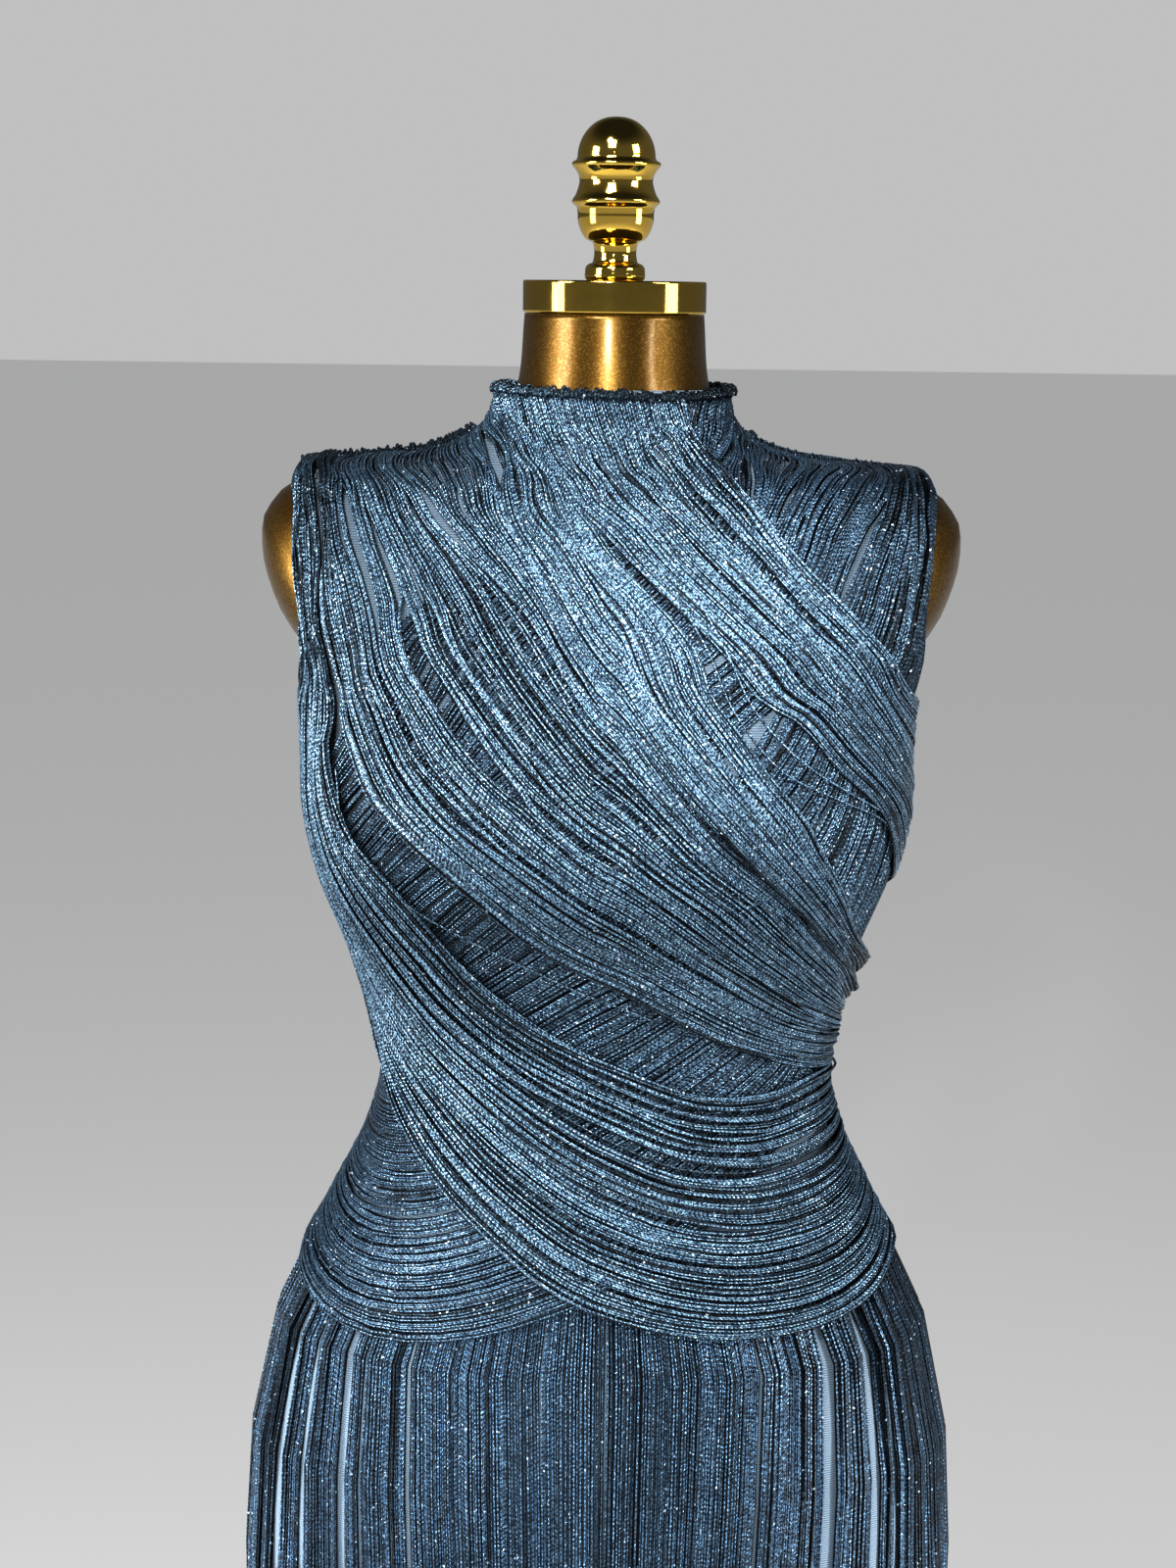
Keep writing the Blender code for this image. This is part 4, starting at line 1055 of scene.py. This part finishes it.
# ---- ground panels ------------------------------------------------------------------------
@dataclass
class GroundPanel:
    """A front or back panel of the knit dress."""

    name: str
    node: str
    middle_angle: float
    low: float
    high: float
    flat: tuple[float, float]
    rows: int
    columns: int = 72

    ARMHOLE_BOTTOM: ClassVar[float] = 1.295
    ARMHOLE_TOP: ClassVar[float] = 1.391
    ARMHOLE_SPREAD: ClassVar[float] = 36.5
    ARMHOLE_SQUARENESS: ClassVar[float] = 2.6

    def half_spread(self, levels: np.ndarray, body: Body) -> np.ndarray:
        """Degrees from the middle of the panel to its side seam or armhole."""
        middle = (self.ARMHOLE_BOTTOM + self.ARMHOLE_TOP) / 2
        half = (self.ARMHOLE_TOP - self.ARMHOLE_BOTTOM) / 2
        share = np.clip(1 - np.abs((levels - middle) / half) ** self.ARMHOLE_SQUARENESS, 0.0, 1.0)
        widths = body.ring(levels).half_width
        return 90.0 - self.ARMHOLE_SPREAD * np.sqrt(share) - np.degrees(SEAM / widths)

    def build(self, body: Body) -> bpy.types.Object:
        """Build the panel as a closed thin wall."""
        levels = np.linspace(self.low, self.high, self.rows)
        spread = self.half_spread(levels, body)
        across = np.linspace(-1.0, 1.0, self.columns)
        angles = self.middle_angle + across[None, :] * spread[:, None]
        heights = np.repeat(levels[:, None], self.columns, axis=1)
        inner = body.lifted(angles, heights, GROUND_LIFT)
        outer = body.lifted(angles, heights, GROUND_LIFT + GROUND_THICKNESS)
        parts = MeshParts()
        parts.add_grid(outer)
        parts.add_grid(inner, flip=True)
        for row, flip in ((0, True), (-1, False)):
            parts.add_grid(np.stack((outer[row], inner[row])), flip=flip)
        for column, flip in ((0, False), (-1, True)):
            parts.add_grid(np.stack((outer[:, column], inner[:, column])), flip=flip)
        panel = welded(parts.to_object(self.name))
        return in_frame(panel, KNIT.material(), Slot.GROUND_KNIT, self.node)


# ---- form and stand -----------------------------------------------------------------------
def turned(name: str, profile: Sequence[tuple[float, float]], sides: int) -> bpy.types.Object:
    """Turn a profile of (radius, height) points, listed from the bottom up, about the Z axis."""
    radii = np.array([point[0] for point in profile])
    heights = np.array([point[1] for point in profile])
    angles = np.arange(sides) * 2 * math.pi / sides
    grid = np.stack((radii[:, None] * np.cos(angles), radii[:, None] * np.sin(angles),
                     np.repeat(heights[:, None], sides, axis=1)), axis=-1)
    parts = MeshParts()
    parts.add_grid(grid, closed=True)
    return parts.to_object(name)


@dataclass
class DressForm:
    """The painted torso, its cap and finial, and its stand."""

    bottom: float = 0.740
    top: float = 1.490
    cap_radius: float = 0.0475
    cap_thickness: float = 0.0165
    base_radius: float = 0.190
    base_thickness: float = 0.009
    pole_radius: float = 0.0125
    gap: float = SEAM

    def torso(self, body: Body) -> bpy.types.Object:
        """The smooth closed torso."""
        levels = np.concatenate((np.linspace(self.bottom, 1.38, 90),
                                 np.linspace(1.384, self.top, 50)))
        angles = np.arange(128) * 360.0 / 128
        grid_angle, grid_level = np.meshgrid(angles, levels)
        points = (body.point(grid_angle, grid_level, worn=False)
                  - body.normal(grid_angle, grid_level) * FORM_INSET)
        points[0, :, 2] = self.bottom
        points[-1, :, 2] = self.top
        closing_low = points[0] * np.array((0.0, 0.0, 1.0))
        closing_high = points[-1] * np.array((0.0, 0.0, 1.0))
        grid = np.concatenate((closing_low[None], points[:1], points, points[-1:],
                               closing_high[None]))
        parts = MeshParts()
        parts.add_grid(grid, closed=True)
        torso = welded(parts.to_object("torso"))
        return in_frame(torso, FORM_PAINT.material(), Slot.GOLD_PAINT, "dress_form")

    def plated(self, name: str, profile: Sequence[tuple[float, float]], sides: int,
               node: str) -> bpy.types.Object:
        """A turned piece with polished plating."""
        return in_frame(welded(turned(name, profile, sides)), BRASS.material(), Slot.BRIGHT_GOLD, node)

    def cap(self) -> bpy.types.Object:
        """The flat neck cap with its small bevels."""
        low = self.top + self.gap
        high = low + self.cap_thickness
        bevel = 0.0008
        radius = self.cap_radius
        profile = ((0.0, low), (radius - bevel - 0.0004, low), (radius - bevel, low),
                   (radius - 0.3 * bevel, low + 0.3 * bevel), (radius, low + bevel),
                   (radius, low + bevel + 0.0004), (radius, high - bevel - 0.0004), (radius, high - bevel),
                   (radius - 0.3 * bevel, high - 0.3 * bevel), (radius - bevel, high),
                   (radius - bevel - 0.0004, high), (0.0, high))
        return self.plated("cap_disc", profile, 128, "neck_cap")

    def finial(self) -> bpy.types.Object:
        """The turned finial: foot, stem, bulb, two ridges and a dome."""
        foot = self.top + self.cap_thickness + 2 * self.gap
        keys = ((0.0000, 0.0000), (0.0146, 0.0000), (0.0154, 0.0010), (0.0155, 0.0040), (0.0151, 0.0068),
                (0.0138, 0.0082), (0.0117, 0.0091), (0.0113, 0.0105), (0.0113, 0.0178), (0.0117, 0.0190),
                (0.0150, 0.0207), (0.0172, 0.0235), (0.0188, 0.0270), (0.0196, 0.0310), (0.0198, 0.0350),
                (0.0203, 0.0372), (0.0216, 0.0382), (0.0225, 0.0392), (0.0227, 0.0402), (0.0223, 0.0412),
                (0.0211, 0.0430), (0.0199, 0.0460), (0.0191, 0.0490), (0.0189, 0.0505), (0.0192, 0.0525),
                (0.0204, 0.0550), (0.0220, 0.0572), (0.0228, 0.0582), (0.0229, 0.0591), (0.0225, 0.0600),
                (0.0210, 0.0607), (0.0203, 0.0618), (0.0200, 0.0645), (0.0192, 0.0685), (0.0172, 0.0732),
                (0.0142, 0.0772), (0.0104, 0.0803), (0.0056, 0.0823), (0.0000, 0.0830))
        points = np.array(keys)
        steps = np.concatenate(([0.0], np.cumsum(np.linalg.norm(np.diff(points, axis=0), axis=1))))
        fine = hermite_rows(steps, points, np.linspace(0.0, steps[-1], 150))
        fine[:, 0] = np.maximum(fine[:, 0], 0.0)
        profile = [(float(radius), foot + float(height)) for radius, height in fine]
        return self.plated("turned_finial", profile, 96, "finial")

    def pole(self) -> bpy.types.Object:
        """The pole from the plate to the torso."""
        low = self.base_thickness + self.gap
        high = self.bottom - self.gap
        profile = ((0.0, low), (self.pole_radius - 0.0003, low), (self.pole_radius, low + 0.0003),
                   (self.pole_radius, high - 0.0003), (self.pole_radius - 0.0003, high), (0.0, high))
        return self.plated("stand_pole", profile, 64, "pole")

    def base(self) -> bpy.types.Object:
        """The round base plate with a rounded rim."""
        radius = self.base_radius
        high = self.base_thickness
        rim = 0.002
        arc = [(radius - rim + rim * math.sin(turn), high - rim + rim * math.cos(turn))
               for turn in np.linspace(math.pi / 2, 0.0, 7)]
        profile = [(0.0, 0.0), (radius - rim, 0.0), (radius - 0.3 * rim, 0.3 * rim), (radius, rim)]
        profile += arc + [(radius - rim - 0.001, high), (0.0, high)]
        return self.plated("stand_plate", profile, 160, "base_plate")

    def build(self, body: Body) -> list[bpy.types.Object]:
        """Build every piece."""
        return [self.torso(body), self.cap(), self.finial(), self.pole(), self.base()]


# ---- looped edges -------------------------------------------------------------------------
class Stand(Enum):
    """Which way the loops of an edge stand."""

    UP_THE_BODY = "up"
    OUT_FROM_IT = "out"


@dataclass
class LoopedEdge:
    """A row of small loops of yarn over a seam or an edge."""

    name: str
    node: str
    row: Sequence[Place]
    loops: int
    stand: Stand
    span: float
    rise: float
    lift: float
    seed: int
    closed: bool = False
    turns: int = 8

    def build(self, body: Body) -> bpy.types.Object:
        """Build the loops as one piece."""
        rng = np.random.default_rng(self.seed)
        row = np.array(self.row, float)
        keys = np.linspace(0.0, 1.0, len(row))
        last = self.loops if self.closed else self.loops - 1
        where = np.clip((np.arange(self.loops) + rng.uniform(-0.35, 0.35, self.loops)) / last, 0.0, 1.0)
        place = hermite_rows(keys, row, where)
        step = 0.002
        before = hermite_rows(keys, row, np.clip(where - step, 0.0, 1.0))
        after = hermite_rows(keys, row, np.clip(where + step, 0.0, 1.0))
        centre = body.lifted(place[:, 0], place[:, 1], self.lift)
        normal = body.normal(place[:, 0], place[:, 1])
        line = body.point(after[:, 0], after[:, 1]) - body.point(before[:, 0], before[:, 1])
        line /= np.linalg.norm(line, axis=-1, keepdims=True)
        up = np.cross(normal, line)
        flat, tall = (normal, up) if self.stand is Stand.UP_THE_BODY else (up, normal)
        span = self.span * rng.uniform(0.8, 1.15, self.loops)
        rise = self.rise * (0.55 + 0.9 * rng.uniform(0.0, 1.0, self.loops) ** 2)
        lean = rng.uniform(-0.5, 0.5, self.loops)
        arc = np.linspace(-0.22 * math.pi, 1.22 * math.pi, self.turns)
        points = (centre[:, None, :] + np.cos(arc)[None, :, None] * span[:, None, None] * flat[:, None, :]
                  + np.sin(arc)[None, :, None] * rise[:, None, None] * tall[:, None, :]
                  + (arc - math.pi / 2)[None, :, None] * (0.0007 * lean)[:, None, None] * line[:, None, :])
        across = np.repeat(line[:, None, :], self.turns, axis=1)
        parts = MeshParts()
        parts.add_tubes(points, across, STRAND_RADIUS * 1.1, 4, self.seed)
        loops = parts.to_object(self.name)
        return in_frame(loops, OVER_YARN.material(), Slot.DRAPE_FRINGE, self.node)


# ---- the dress ----------------------------------------------------------------------------
def drawn_in(angle: float) -> float:
    """Degrees that a strand of the skirt moves aside between its lower part and the hip."""
    most = 4.5
    last = 68
    return most * math.sin(math.pi * min(abs(angle), last) / last) * math.copysign(1.0, angle)


def skirt_lanes() -> list[Lane]:
    """Lanes of the skirt fringe, which hang from the hip to just above the floor."""
    lanes = []
    for angle in range(-180, 181, 12):
        high = angle + drawn_in(angle)
        lanes.append(((high, SKIRT_TOP), (high, 0.985), (high, 0.955),
                      (angle + 0.6 * drawn_in(angle), 0.91), (angle, 0.85), (angle, 0.75),
                      (angle, 0.60), (angle, 0.40), (angle, 0.20), (angle, SKIRT_END)))
    return lanes


def stripe(angle: float, width: float) -> Split:
    """A long parting of the skirt fringe at an angle."""
    return Split((angle + drawn_in(angle), SKIRT_TOP), (angle, SKIRT_END), width, 0.007, blunt=0.12)


@dataclass
class Dress:
    """The knit dress and all its fringe."""

    hem: float = 0.045
    neck_top: float = 1.4525

    def ground(self) -> list[GroundPanel]:
        """The four knit panels with their flat sizes."""
        skirt = (self.hem, WAIST - SEAM)
        bodice = (WAIST, self.neck_top)
        return [
            GroundPanel("knit_skirt_front", "ground_skirt_front", 0.0, *skirt, (0.52, 1.06), 80),
            GroundPanel("knit_skirt_back", "ground_skirt_back", 180.0, *skirt, (0.54, 1.06), 80),
            GroundPanel("knit_bodice_front", "ground_bodice_front", 0.0, *bodice, (0.46, 0.42), 150),
            GroundPanel("knit_bodice_back", "ground_bodice_back", 180.0, *bodice, (0.44, 0.38), 150),
        ]

    def under_drape(self) -> FringeSheet:
        """Fringe from the wearer's left neck and shoulder to the right hip."""
        splits = (
            Split((46, 1.407), (24, 1.397), 0.0034, 0.004),
            Split((46, 1.396), (21, 1.377), 0.0042, 0.004),
            Split((33, 1.383), (26, 1.372), 0.0024, 0.003),
            Split((56, 1.389), (31, 1.346), 0.0024, 0.003),
            Split((53, 1.386), (33, 1.338), 0.0052, 0.005, peak=0.65),
            Split((47, 1.365), (37, 1.326), 0.0034, 0.004),
            Split((80, 1.389), (51, 1.357), 0.0044, 0.005),
            Split((48, 1.356), (44, 1.320), 0.0020, 0.003),
            Split((19, 1.335), (5, 1.300), 0.0060, 0.006),
            Split((27, 1.292), (12, 1.258), 0.0100, 0.008),
            Split((33, 1.298), (17, 1.266), 0.0060, 0.006),
            Split((-15, 1.050), (-60, 1.024), 0.0020, 0.004),
            Split((-15, 1.075), (-62, 1.052), 0.0016, 0.004),
            Split((-10, 1.032), (-50, 1.008), 0.0016, 0.004),
        )
        return FringeSheet("under_drape_strands", list(UNDER_LANES.values()),
                           (24, 26, 20, 24, 28, 112), UNDER_START, UNDER_LIFT, EDGE_RUN, SHADED_UNDER_YARN,
                           Slot.DRAPE_FRINGE, ["under_drape"], splits,
                           pull=(0.2,) * 7, pull_run=(0.05, 0.2, 0.8, 0.95),
                           bundle_size=(2, 8), stations=66, underlay=0.5, underlay_thicker=1.9,
                           most_layers=1.6, seed=100)

    def over_sheet(self, name: str, node: str, lanes: Sequence[str], counts: Sequence[int],
                   splits: Sequence[Split], **laid: object) -> FringeSheet:
        """A sheet of the over drape, which lies at its heights and rests on the under drape.

        Args:
            name: the piece's name.
            node: the solid that it stands for.
            lanes: names of its lanes.
            counts: strands from each lane to the next.
            splits: its partings.
            laid: what else a FringeSheet takes.

        Returns:
            The sheet.
        """
        return FringeSheet(name, [OVER_LANES[lane] for lane in lanes], counts, OVER_START,
                           OVER_LIFT, EDGE_RUN, OVER_YARN, Slot.DRAPE_FRINGE, [node], splits,
                           rest=UNDER_LANES["neck_front"], sink=OVER_SINK, **laid)

    def neck_band(self) -> FringeSheet:
        """The over drape's band from the front of the neck."""
        splits = (
            Split((20, 1.420), (30, 1.348), 0.0032, 0.006, peak=0.4),
            Split((13, 1.430), (38, 1.318), 0.0046, 0.008, peak=0.45),
            Split((6, 1.395), (28, 1.318), 0.0018, 0.004),
            Split((16, 1.342), (40, 1.288), 0.0018, 0.004),
        )
        strays = (
            ((5, 1.385), (9, 1.352), (14, 1.322), (21, 1.296), (31, 1.274), (45, 1.256), (60, 1.240),
             (73, 1.220), (90, 1.202), (130, 1.180)),
            ((3, 1.378), (7, 1.348), (12, 1.318), (18, 1.293), (28, 1.268), (43, 1.252), (59, 1.238),
             (72, 1.217), (90, 1.198), (130, 1.177)),
        )
        return self.over_sheet("neck_band_strands", "neck_band_drape",
                               ("neck_front", "neck_split", "neck_low"), (19, 48), splits,
                               strays=strays, pull=(0.15, 0.25, 0.3),
                               pull_run=(0.05, 0.15, 0.7, 0.9), bundle_size=(2, 9), underlay=0.8,
                               seed=200)

    def bust_band(self) -> FringeSheet:
        """The over drape's band from the wearer's right neck and shoulder to the left waist."""
        lanes = ("bust_top", "neck_side", "neck_base", "shoulder", "shoulder_mid", "bust_low")
        splits = (
            Split((-58, 1.389), (-36, 1.320), 0.0058, 0.006, peak=0.6),
            Split((-63, 1.394), (-30.5, 1.332), 0.0048, 0.005, peak=0.85),
            Split((-73, 1.400), (-41.5, 1.388), 0.0016, 0.003),
            Split((-54, 1.398), (-20, 1.366), 0.0048, 0.005, peak=0.8),
            Split((-33.5, 1.394), (-20.5, 1.379), 0.0022, 0.003),
            Split((-72, 1.419), (-22, 1.399), 0.0034, 0.004),
            Split((-52.5, 1.417), (-33.5, 1.408), 0.0018, 0.003),
            Split((-31, 1.340), (-11.5, 1.254), 0.0105, 0.010, peak=0.4, blunt=0.5),
            Split((-28, 1.343), (-8, 1.262), 0.0060, 0.004, peak=0.45, blunt=0.5),
            Split((-24.5, 1.343), (-5, 1.268), 0.0050, 0.004, peak=0.5),
            Split((-20, 1.363), (-3.5, 1.291), 0.0042, 0.005, peak=0.6),
            Split((-24.5, 1.355), (-14, 1.296), 0.0024, 0.003),
            Split((-9, 1.344), (-2, 1.297), 0.0030, 0.004, peak=0.75),
            Split((-12, 1.356), (-5.5, 1.321), 0.0018, 0.003),
            Split((-8, 1.381), (2.5, 1.307), 0.0014, 0.003),
            Split((9, 1.307), (36, 1.224), 0.0026, 0.004),
            Split((3, 1.279), (27.5, 1.216), 0.0030, 0.004),
            Split((-2, 1.270), (12, 1.222), 0.0036, 0.004),
            Split((-11, 1.261), (2.5, 1.217), 0.0048, 0.005),
            Split((-31.5, 1.283), (-8, 1.221), 0.0044, 0.005),
            Split((-36.5, 1.276), (-14.5, 1.230), 0.0040, 0.004),
        )
        return self.over_sheet("bust_band_strands", "bust_band_drape", lanes,
                               (32, 24, 24, 42, 38), splits, pull=(0.15, 0.2, 0.2, 0.2, 0.4, 0.7),
                               pull_run=(0.05, 0.30, 0.65, 0.9), bundle_size=(2, 7), stations=76,
                               underlay=0.6, underlay_thicker=1.5, seed=300)

    def hip_swag(self) -> FringeSheet:
        """The over drape's swag from the wearer's right shoulder tip to the left hip."""
        splits = (
            Split((-30, 1.150), (-4, 1.088), 0.0040, 0.005),
            Split((-26, 1.125), (24, 1.066), 0.0045, 0.005),
            Split((-18, 1.098), (38, 1.052), 0.0050, 0.006),
            Split((-12, 1.062), (38, 1.025), 0.0045, 0.006),
            Split((-2, 1.088), (44, 1.078), 0.0035, 0.005),
        )
        strays = (
            ((-57, 1.262), (-54, 1.232), (-47, 1.212), (-38, 1.199), (-27, 1.186), (-15, 1.171),
             (-4, 1.156), (10, 1.140)),
        )
        return self.over_sheet("hip_swag_strands", "hip_swag_drape", ("swag_top", "swag_low"),
                               (96,), splits, strays=strays, pull=(0.6, 0.2),
                               pull_run=(0.10, 0.35, 0.75, 0.92), bundle_size=(2, 7), stations=84,
                               underlay=0.7, seed=400)

    def back_fringe(self) -> FringeSheet:
        """Fringe hung down the back."""
        lanes = list(BACK_LANES.values())
        mirrored = [tuple((360.0 - angle, level) for angle, level in lane) for lane in lanes[-2::-1]]
        splits = (
            Split((115, 1.395), (125, 1.300), 0.0060, 0.006),
            Split((245, 1.395), (235, 1.300), 0.0060, 0.006),
            Split((142, 1.400), (146, 1.290), 0.0050, 0.006),
            Split((216, 1.400), (214, 1.300), 0.0040, 0.006),
        )
        return FringeSheet("back_strands", lanes + mirrored, (34, 34, 34, 34, 34, 34), 0.0048, 0.0030,
                           0.72, HUNG_YARN, Slot.HUNG_FRINGE, ["back_fringe"], splits,
                           pull=(0.2,) * 7, pull_run=(0.1, 0.3, 0.9, 1.0), stations=36,
                           settled_ends=0.01, seed=500)

    def skirt_fringe(self) -> FringeSheet:
        """Fringe hung from the hip to just above the floor."""
        lanes = skirt_lanes()
        stripes = [(-63.2, 0.0084), (-54, 0.0062), (-46.4, 0.0014), (-44.8, 0.0014),
                   (-42.5, 0.0060), (-38.2, 0.0022), (-31.2, 0.0018), (-28, 0.0036),
                   (-3.5, 0.0008), (21.9, 0.0042), (23.8, 0.0014), (30, 0.0012), (35.9, 0.0096),
                   (38.6, 0.0020), (47.8, 0.0088), (53.6, 0.0056), (112, 0.0050), (126, 0.0035),
                   (140, 0.0040), (-108, 0.0045), (-122, 0.0060), (-137, 0.0040)]
        splits = [stripe(angle, width) for angle, width in stripes]
        counts = [27] * (len(lanes) - 1)
        return FringeSheet("skirt_strands", lanes, counts, SKIRT_LIFT, SKIRT_LIFT, 0.1, HUNG_YARN,
                           Slot.HUNG_FRINGE, ["skirt_fringe"], splits, stations=16, drift=0.0005,
                           slow_drift=0.0005, settled_ends=0.01, uneven_ends=0.008, underlay=0.8,
                           underlay_thicker=1.6, seed=600)

    def edges(self) -> list[LoopedEdge]:
        """The looped edges round the neck and along the shoulders."""
        neck = tuple((angle, 1.4508 - 0.0018 * math.exp(-((angle - 35) / 30) ** 2))
                     for angle in range(-180, 181, 15))
        left = ((90, 1.3890), (90, 1.397), (90, 1.406), (90, 1.4150), (90, 1.4230))
        right = tuple((-angle, level) for angle, level in left)
        return [
            LoopedEdge("neck_loops", "neck_edge", neck, 330, Stand.UP_THE_BODY, 0.0030, 0.0026, 0.0026,
                       700, closed=True),
            LoopedEdge("shoulder_loops_left", "shoulder_edge_left", left, 120, Stand.OUT_FROM_IT,
                       0.0055, 0.0026, 0.0034, 710),
            LoopedEdge("shoulder_loops_right", "shoulder_edge_right", right, 120, Stand.OUT_FROM_IT,
                       0.0055, 0.0030, 0.0060, 720),
        ]

    def build(self, body: Body) -> None:
        """Build the cloth."""
        panels = self.ground()
        cloth = {panel.name: panel.build(body) for panel in panels}
        for sheet in (self.under_drape(), self.neck_band(), self.bust_band(), self.hip_swag(),
                      self.back_fringe(), self.skirt_fringe()):
            sheet.build(body)
        loops = [edge.build(body) for edge in self.edges()]


# ---- studio -------------------------------------------------------------------------------
class SoftBox(NamedTuple):
    """A square soft light at an azimuth and an elevation round the form's middle."""

    name: str
    azimuth: float
    elevation: float
    watts: float


class SoftSpot(NamedTuple):
    """A soft-edged spotlight that looks at a target."""

    name: str
    place: tuple[float, float, float]
    target: tuple[float, float, float]
    spread: float
    watts: float


SOFT_BOXES = (
    SoftBox("high", -15, 42, 30.0),
    SoftBox("right", 62, 28, 22.0),
    SoftBox("left", -66, 22, 34.0),
    SoftBox("right_low", 75, 0, 12.0),
    SoftBox("left_low", -75, 0, 12.0),
)
SOFT_SPOTS = (
    SoftSpot("chest_spot", (-0.30, -2.4, 1.95), (0.030, -0.1, 1.325), 7.6, 560.0),
    SoftSpot("hip_spot", (-0.6, -2.3, 1.60), (-0.075, -0.1, 0.985), 7.0, 420.0),
    SoftSpot("side_spot", (1.9, -1.7, 1.85), (0.115, -0.08, 1.29), 8.0, 210.0),
    SoftSpot("shoulder_spot", (-2.5, -0.5, 1.30), (-0.140, -0.06, 1.31), 6.0, 520.0),
    SoftSpot("skirt_spot_right", (2.3, -0.75, 0.25), (0.13, -0.05, 0.80), 15.0, 400.0),
    SoftSpot("skirt_spot_left", (-2.3, -0.75, 0.25), (-0.13, -0.05, 0.80), 15.0, 340.0),
)


@dataclass
class Studio:
    """Floor, lights, world and camera."""

    camera_distance: float = 1.545
    camera_height: float = 1.500
    camera_aside: float = -0.0105
    pitch_down: float = math.atan2(500.0, 3000.0)
    roll: float = math.radians(0.75)
    focal_share: float = 3000.0 / 1600.0
    sensor: float = 36.0
    box_height: float = 1.15
    box_distance: float = 2.5
    box_size: float = 0.8
    spot_radius: float = 0.12

    def camera(self) -> None:
        """The camera at the photograph's place and angle."""
        data = bpy.data.cameras.new("camera")
        data.sensor_width = self.sensor
        data.lens = self.sensor * self.focal_share
        data.clip_start = 0.05
        data.clip_end = 200.0
        obj = bpy.data.objects.new("camera", data)
        turn = Matrix.Rotation(math.pi / 2 - self.pitch_down, 4, "X") @ Matrix.Rotation(self.roll, 4, "Z")
        place = Matrix.Translation((self.camera_aside, -self.camera_distance, self.camera_height))
        obj.matrix_world = place @ turn
        bpy.context.scene.collection.objects.link(obj)
        bpy.context.scene.camera = obj

    def floor(self) -> None:
        """A plain pale floor."""
        parts = MeshParts()
        half = 60.0
        parts.add_grid(np.array([[(-half, -half, 0.0), (half, -half, 0.0)],
                                 [(-half, half, 0.0), (half, half, 0.0)]]))
        obj = parts.to_object("floor")
        made, _, shader = start_material("plain_floor")
        shader.inputs["Base Color"].default_value = (0.82, 0.817, 0.812, 1.0)
        shader.inputs["Emission Color"].default_value = (1.0, 0.997, 0.99, 1.0)
        shader.inputs["Emission Strength"].default_value = 0.20
        shader.inputs["Roughness"].default_value = 0.9
        shader.inputs["Specular IOR Level"].default_value = 0.1
        obj.data.materials.append(made)

    def aimed(self, data: bpy.types.Light, place: Vector, target: Vector) -> None:
        """Hang a light at a place so that it looks at a target."""
        obj = bpy.data.objects.new(data.name, data)
        obj.location = place
        obj.rotation_euler = (target - place).to_track_quat("-Z", "Y").to_euler()
        bpy.context.scene.collection.objects.link(obj)

    def lights(self) -> None:
        """A sky light from the front left, soft boxes round the form and soft spots on the cloth."""
        sun = bpy.data.lights.new("sky_light", "SUN")
        sun.energy = 1.15
        sun.angle = math.radians(14)
        self.aimed(sun, Vector((-0.9, -2.0, 3.35)), Vector((0.0, 0.0, 1.25)))
        middle = Vector((0.0, 0.0, self.box_height))
        for box in SOFT_BOXES:
            turn = math.radians(box.azimuth)
            rise = math.radians(box.elevation)
            away = Vector((math.cos(rise) * math.sin(turn), -math.cos(rise) * math.cos(turn),
                           math.sin(rise)))
            data = bpy.data.lights.new(box.name, "AREA")
            data.size = self.box_size
            data.energy = box.watts
            self.aimed(data, middle + self.box_distance * away, middle)
        for spot in SOFT_SPOTS:
            data = bpy.data.lights.new(spot.name, "SPOT")
            data.spot_size = math.radians(spot.spread)
            data.spot_blend = 1.0
            data.shadow_soft_size = self.spot_radius
            data.energy = spot.watts
            self.aimed(data, Vector(spot.place), Vector(spot.target))

    def world(self) -> None:
        """Pale to the camera, a dimmer room to the lit surfaces."""
        world = bpy.data.worlds.new("studio")
        bpy.context.scene.world = world
        world.use_nodes = True
        links = Links(world.node_tree)
        out = world.node_tree.nodes["World Output"]
        room = world.node_tree.nodes["Background"]
        place = links.node("ShaderNodeTexCoord").outputs["Generated"]
        split = links.node("ShaderNodeSeparateXYZ")
        links.join(place, split.inputs[0])
        lit = links.mix(links.step(split.outputs[2], -0.30, 0.10), (0.10, 0.10, 0.105, 1.0),
                        (0.80, 0.83, 0.88, 1.0))
        links.join(links.mix(links.step(split.outputs[2], 0.35, 0.85), lit, (0.16, 0.17, 0.19, 1.0)),
                   room.inputs["Color"])
        room.inputs["Strength"].default_value = 0.20
        pale = links.node("ShaderNodeBackground", Color=(0.60, 0.60, 0.60, 1.0), Strength=1.0)
        seen = links.node("ShaderNodeLightPath").outputs["Is Camera Ray"]
        blend = links.node("ShaderNodeMixShader")
        links.join(seen, blend.inputs[0])
        links.join(room.outputs[0], blend.inputs[1])
        links.join(pale.outputs[0], blend.inputs[2])
        links.join(blend.outputs[0], out.inputs["Surface"])

    def build(self) -> None:
        """Build the whole studio."""
        self.floor()
        self.lights()
        self.world()
        self.camera()
        bpy.context.scene.view_settings.view_transform = "Standard"
        bpy.context.scene.view_settings.gamma = 0.8


def main() -> None:
    """Build the dressed form in its studio."""
    logging.basicConfig(level=logging.INFO, format="%(message)s")
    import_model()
    body = Body()
    DressForm().build(body)
    Dress().build(body)
    Studio().build()


if __name__ == "__main__":
    main()
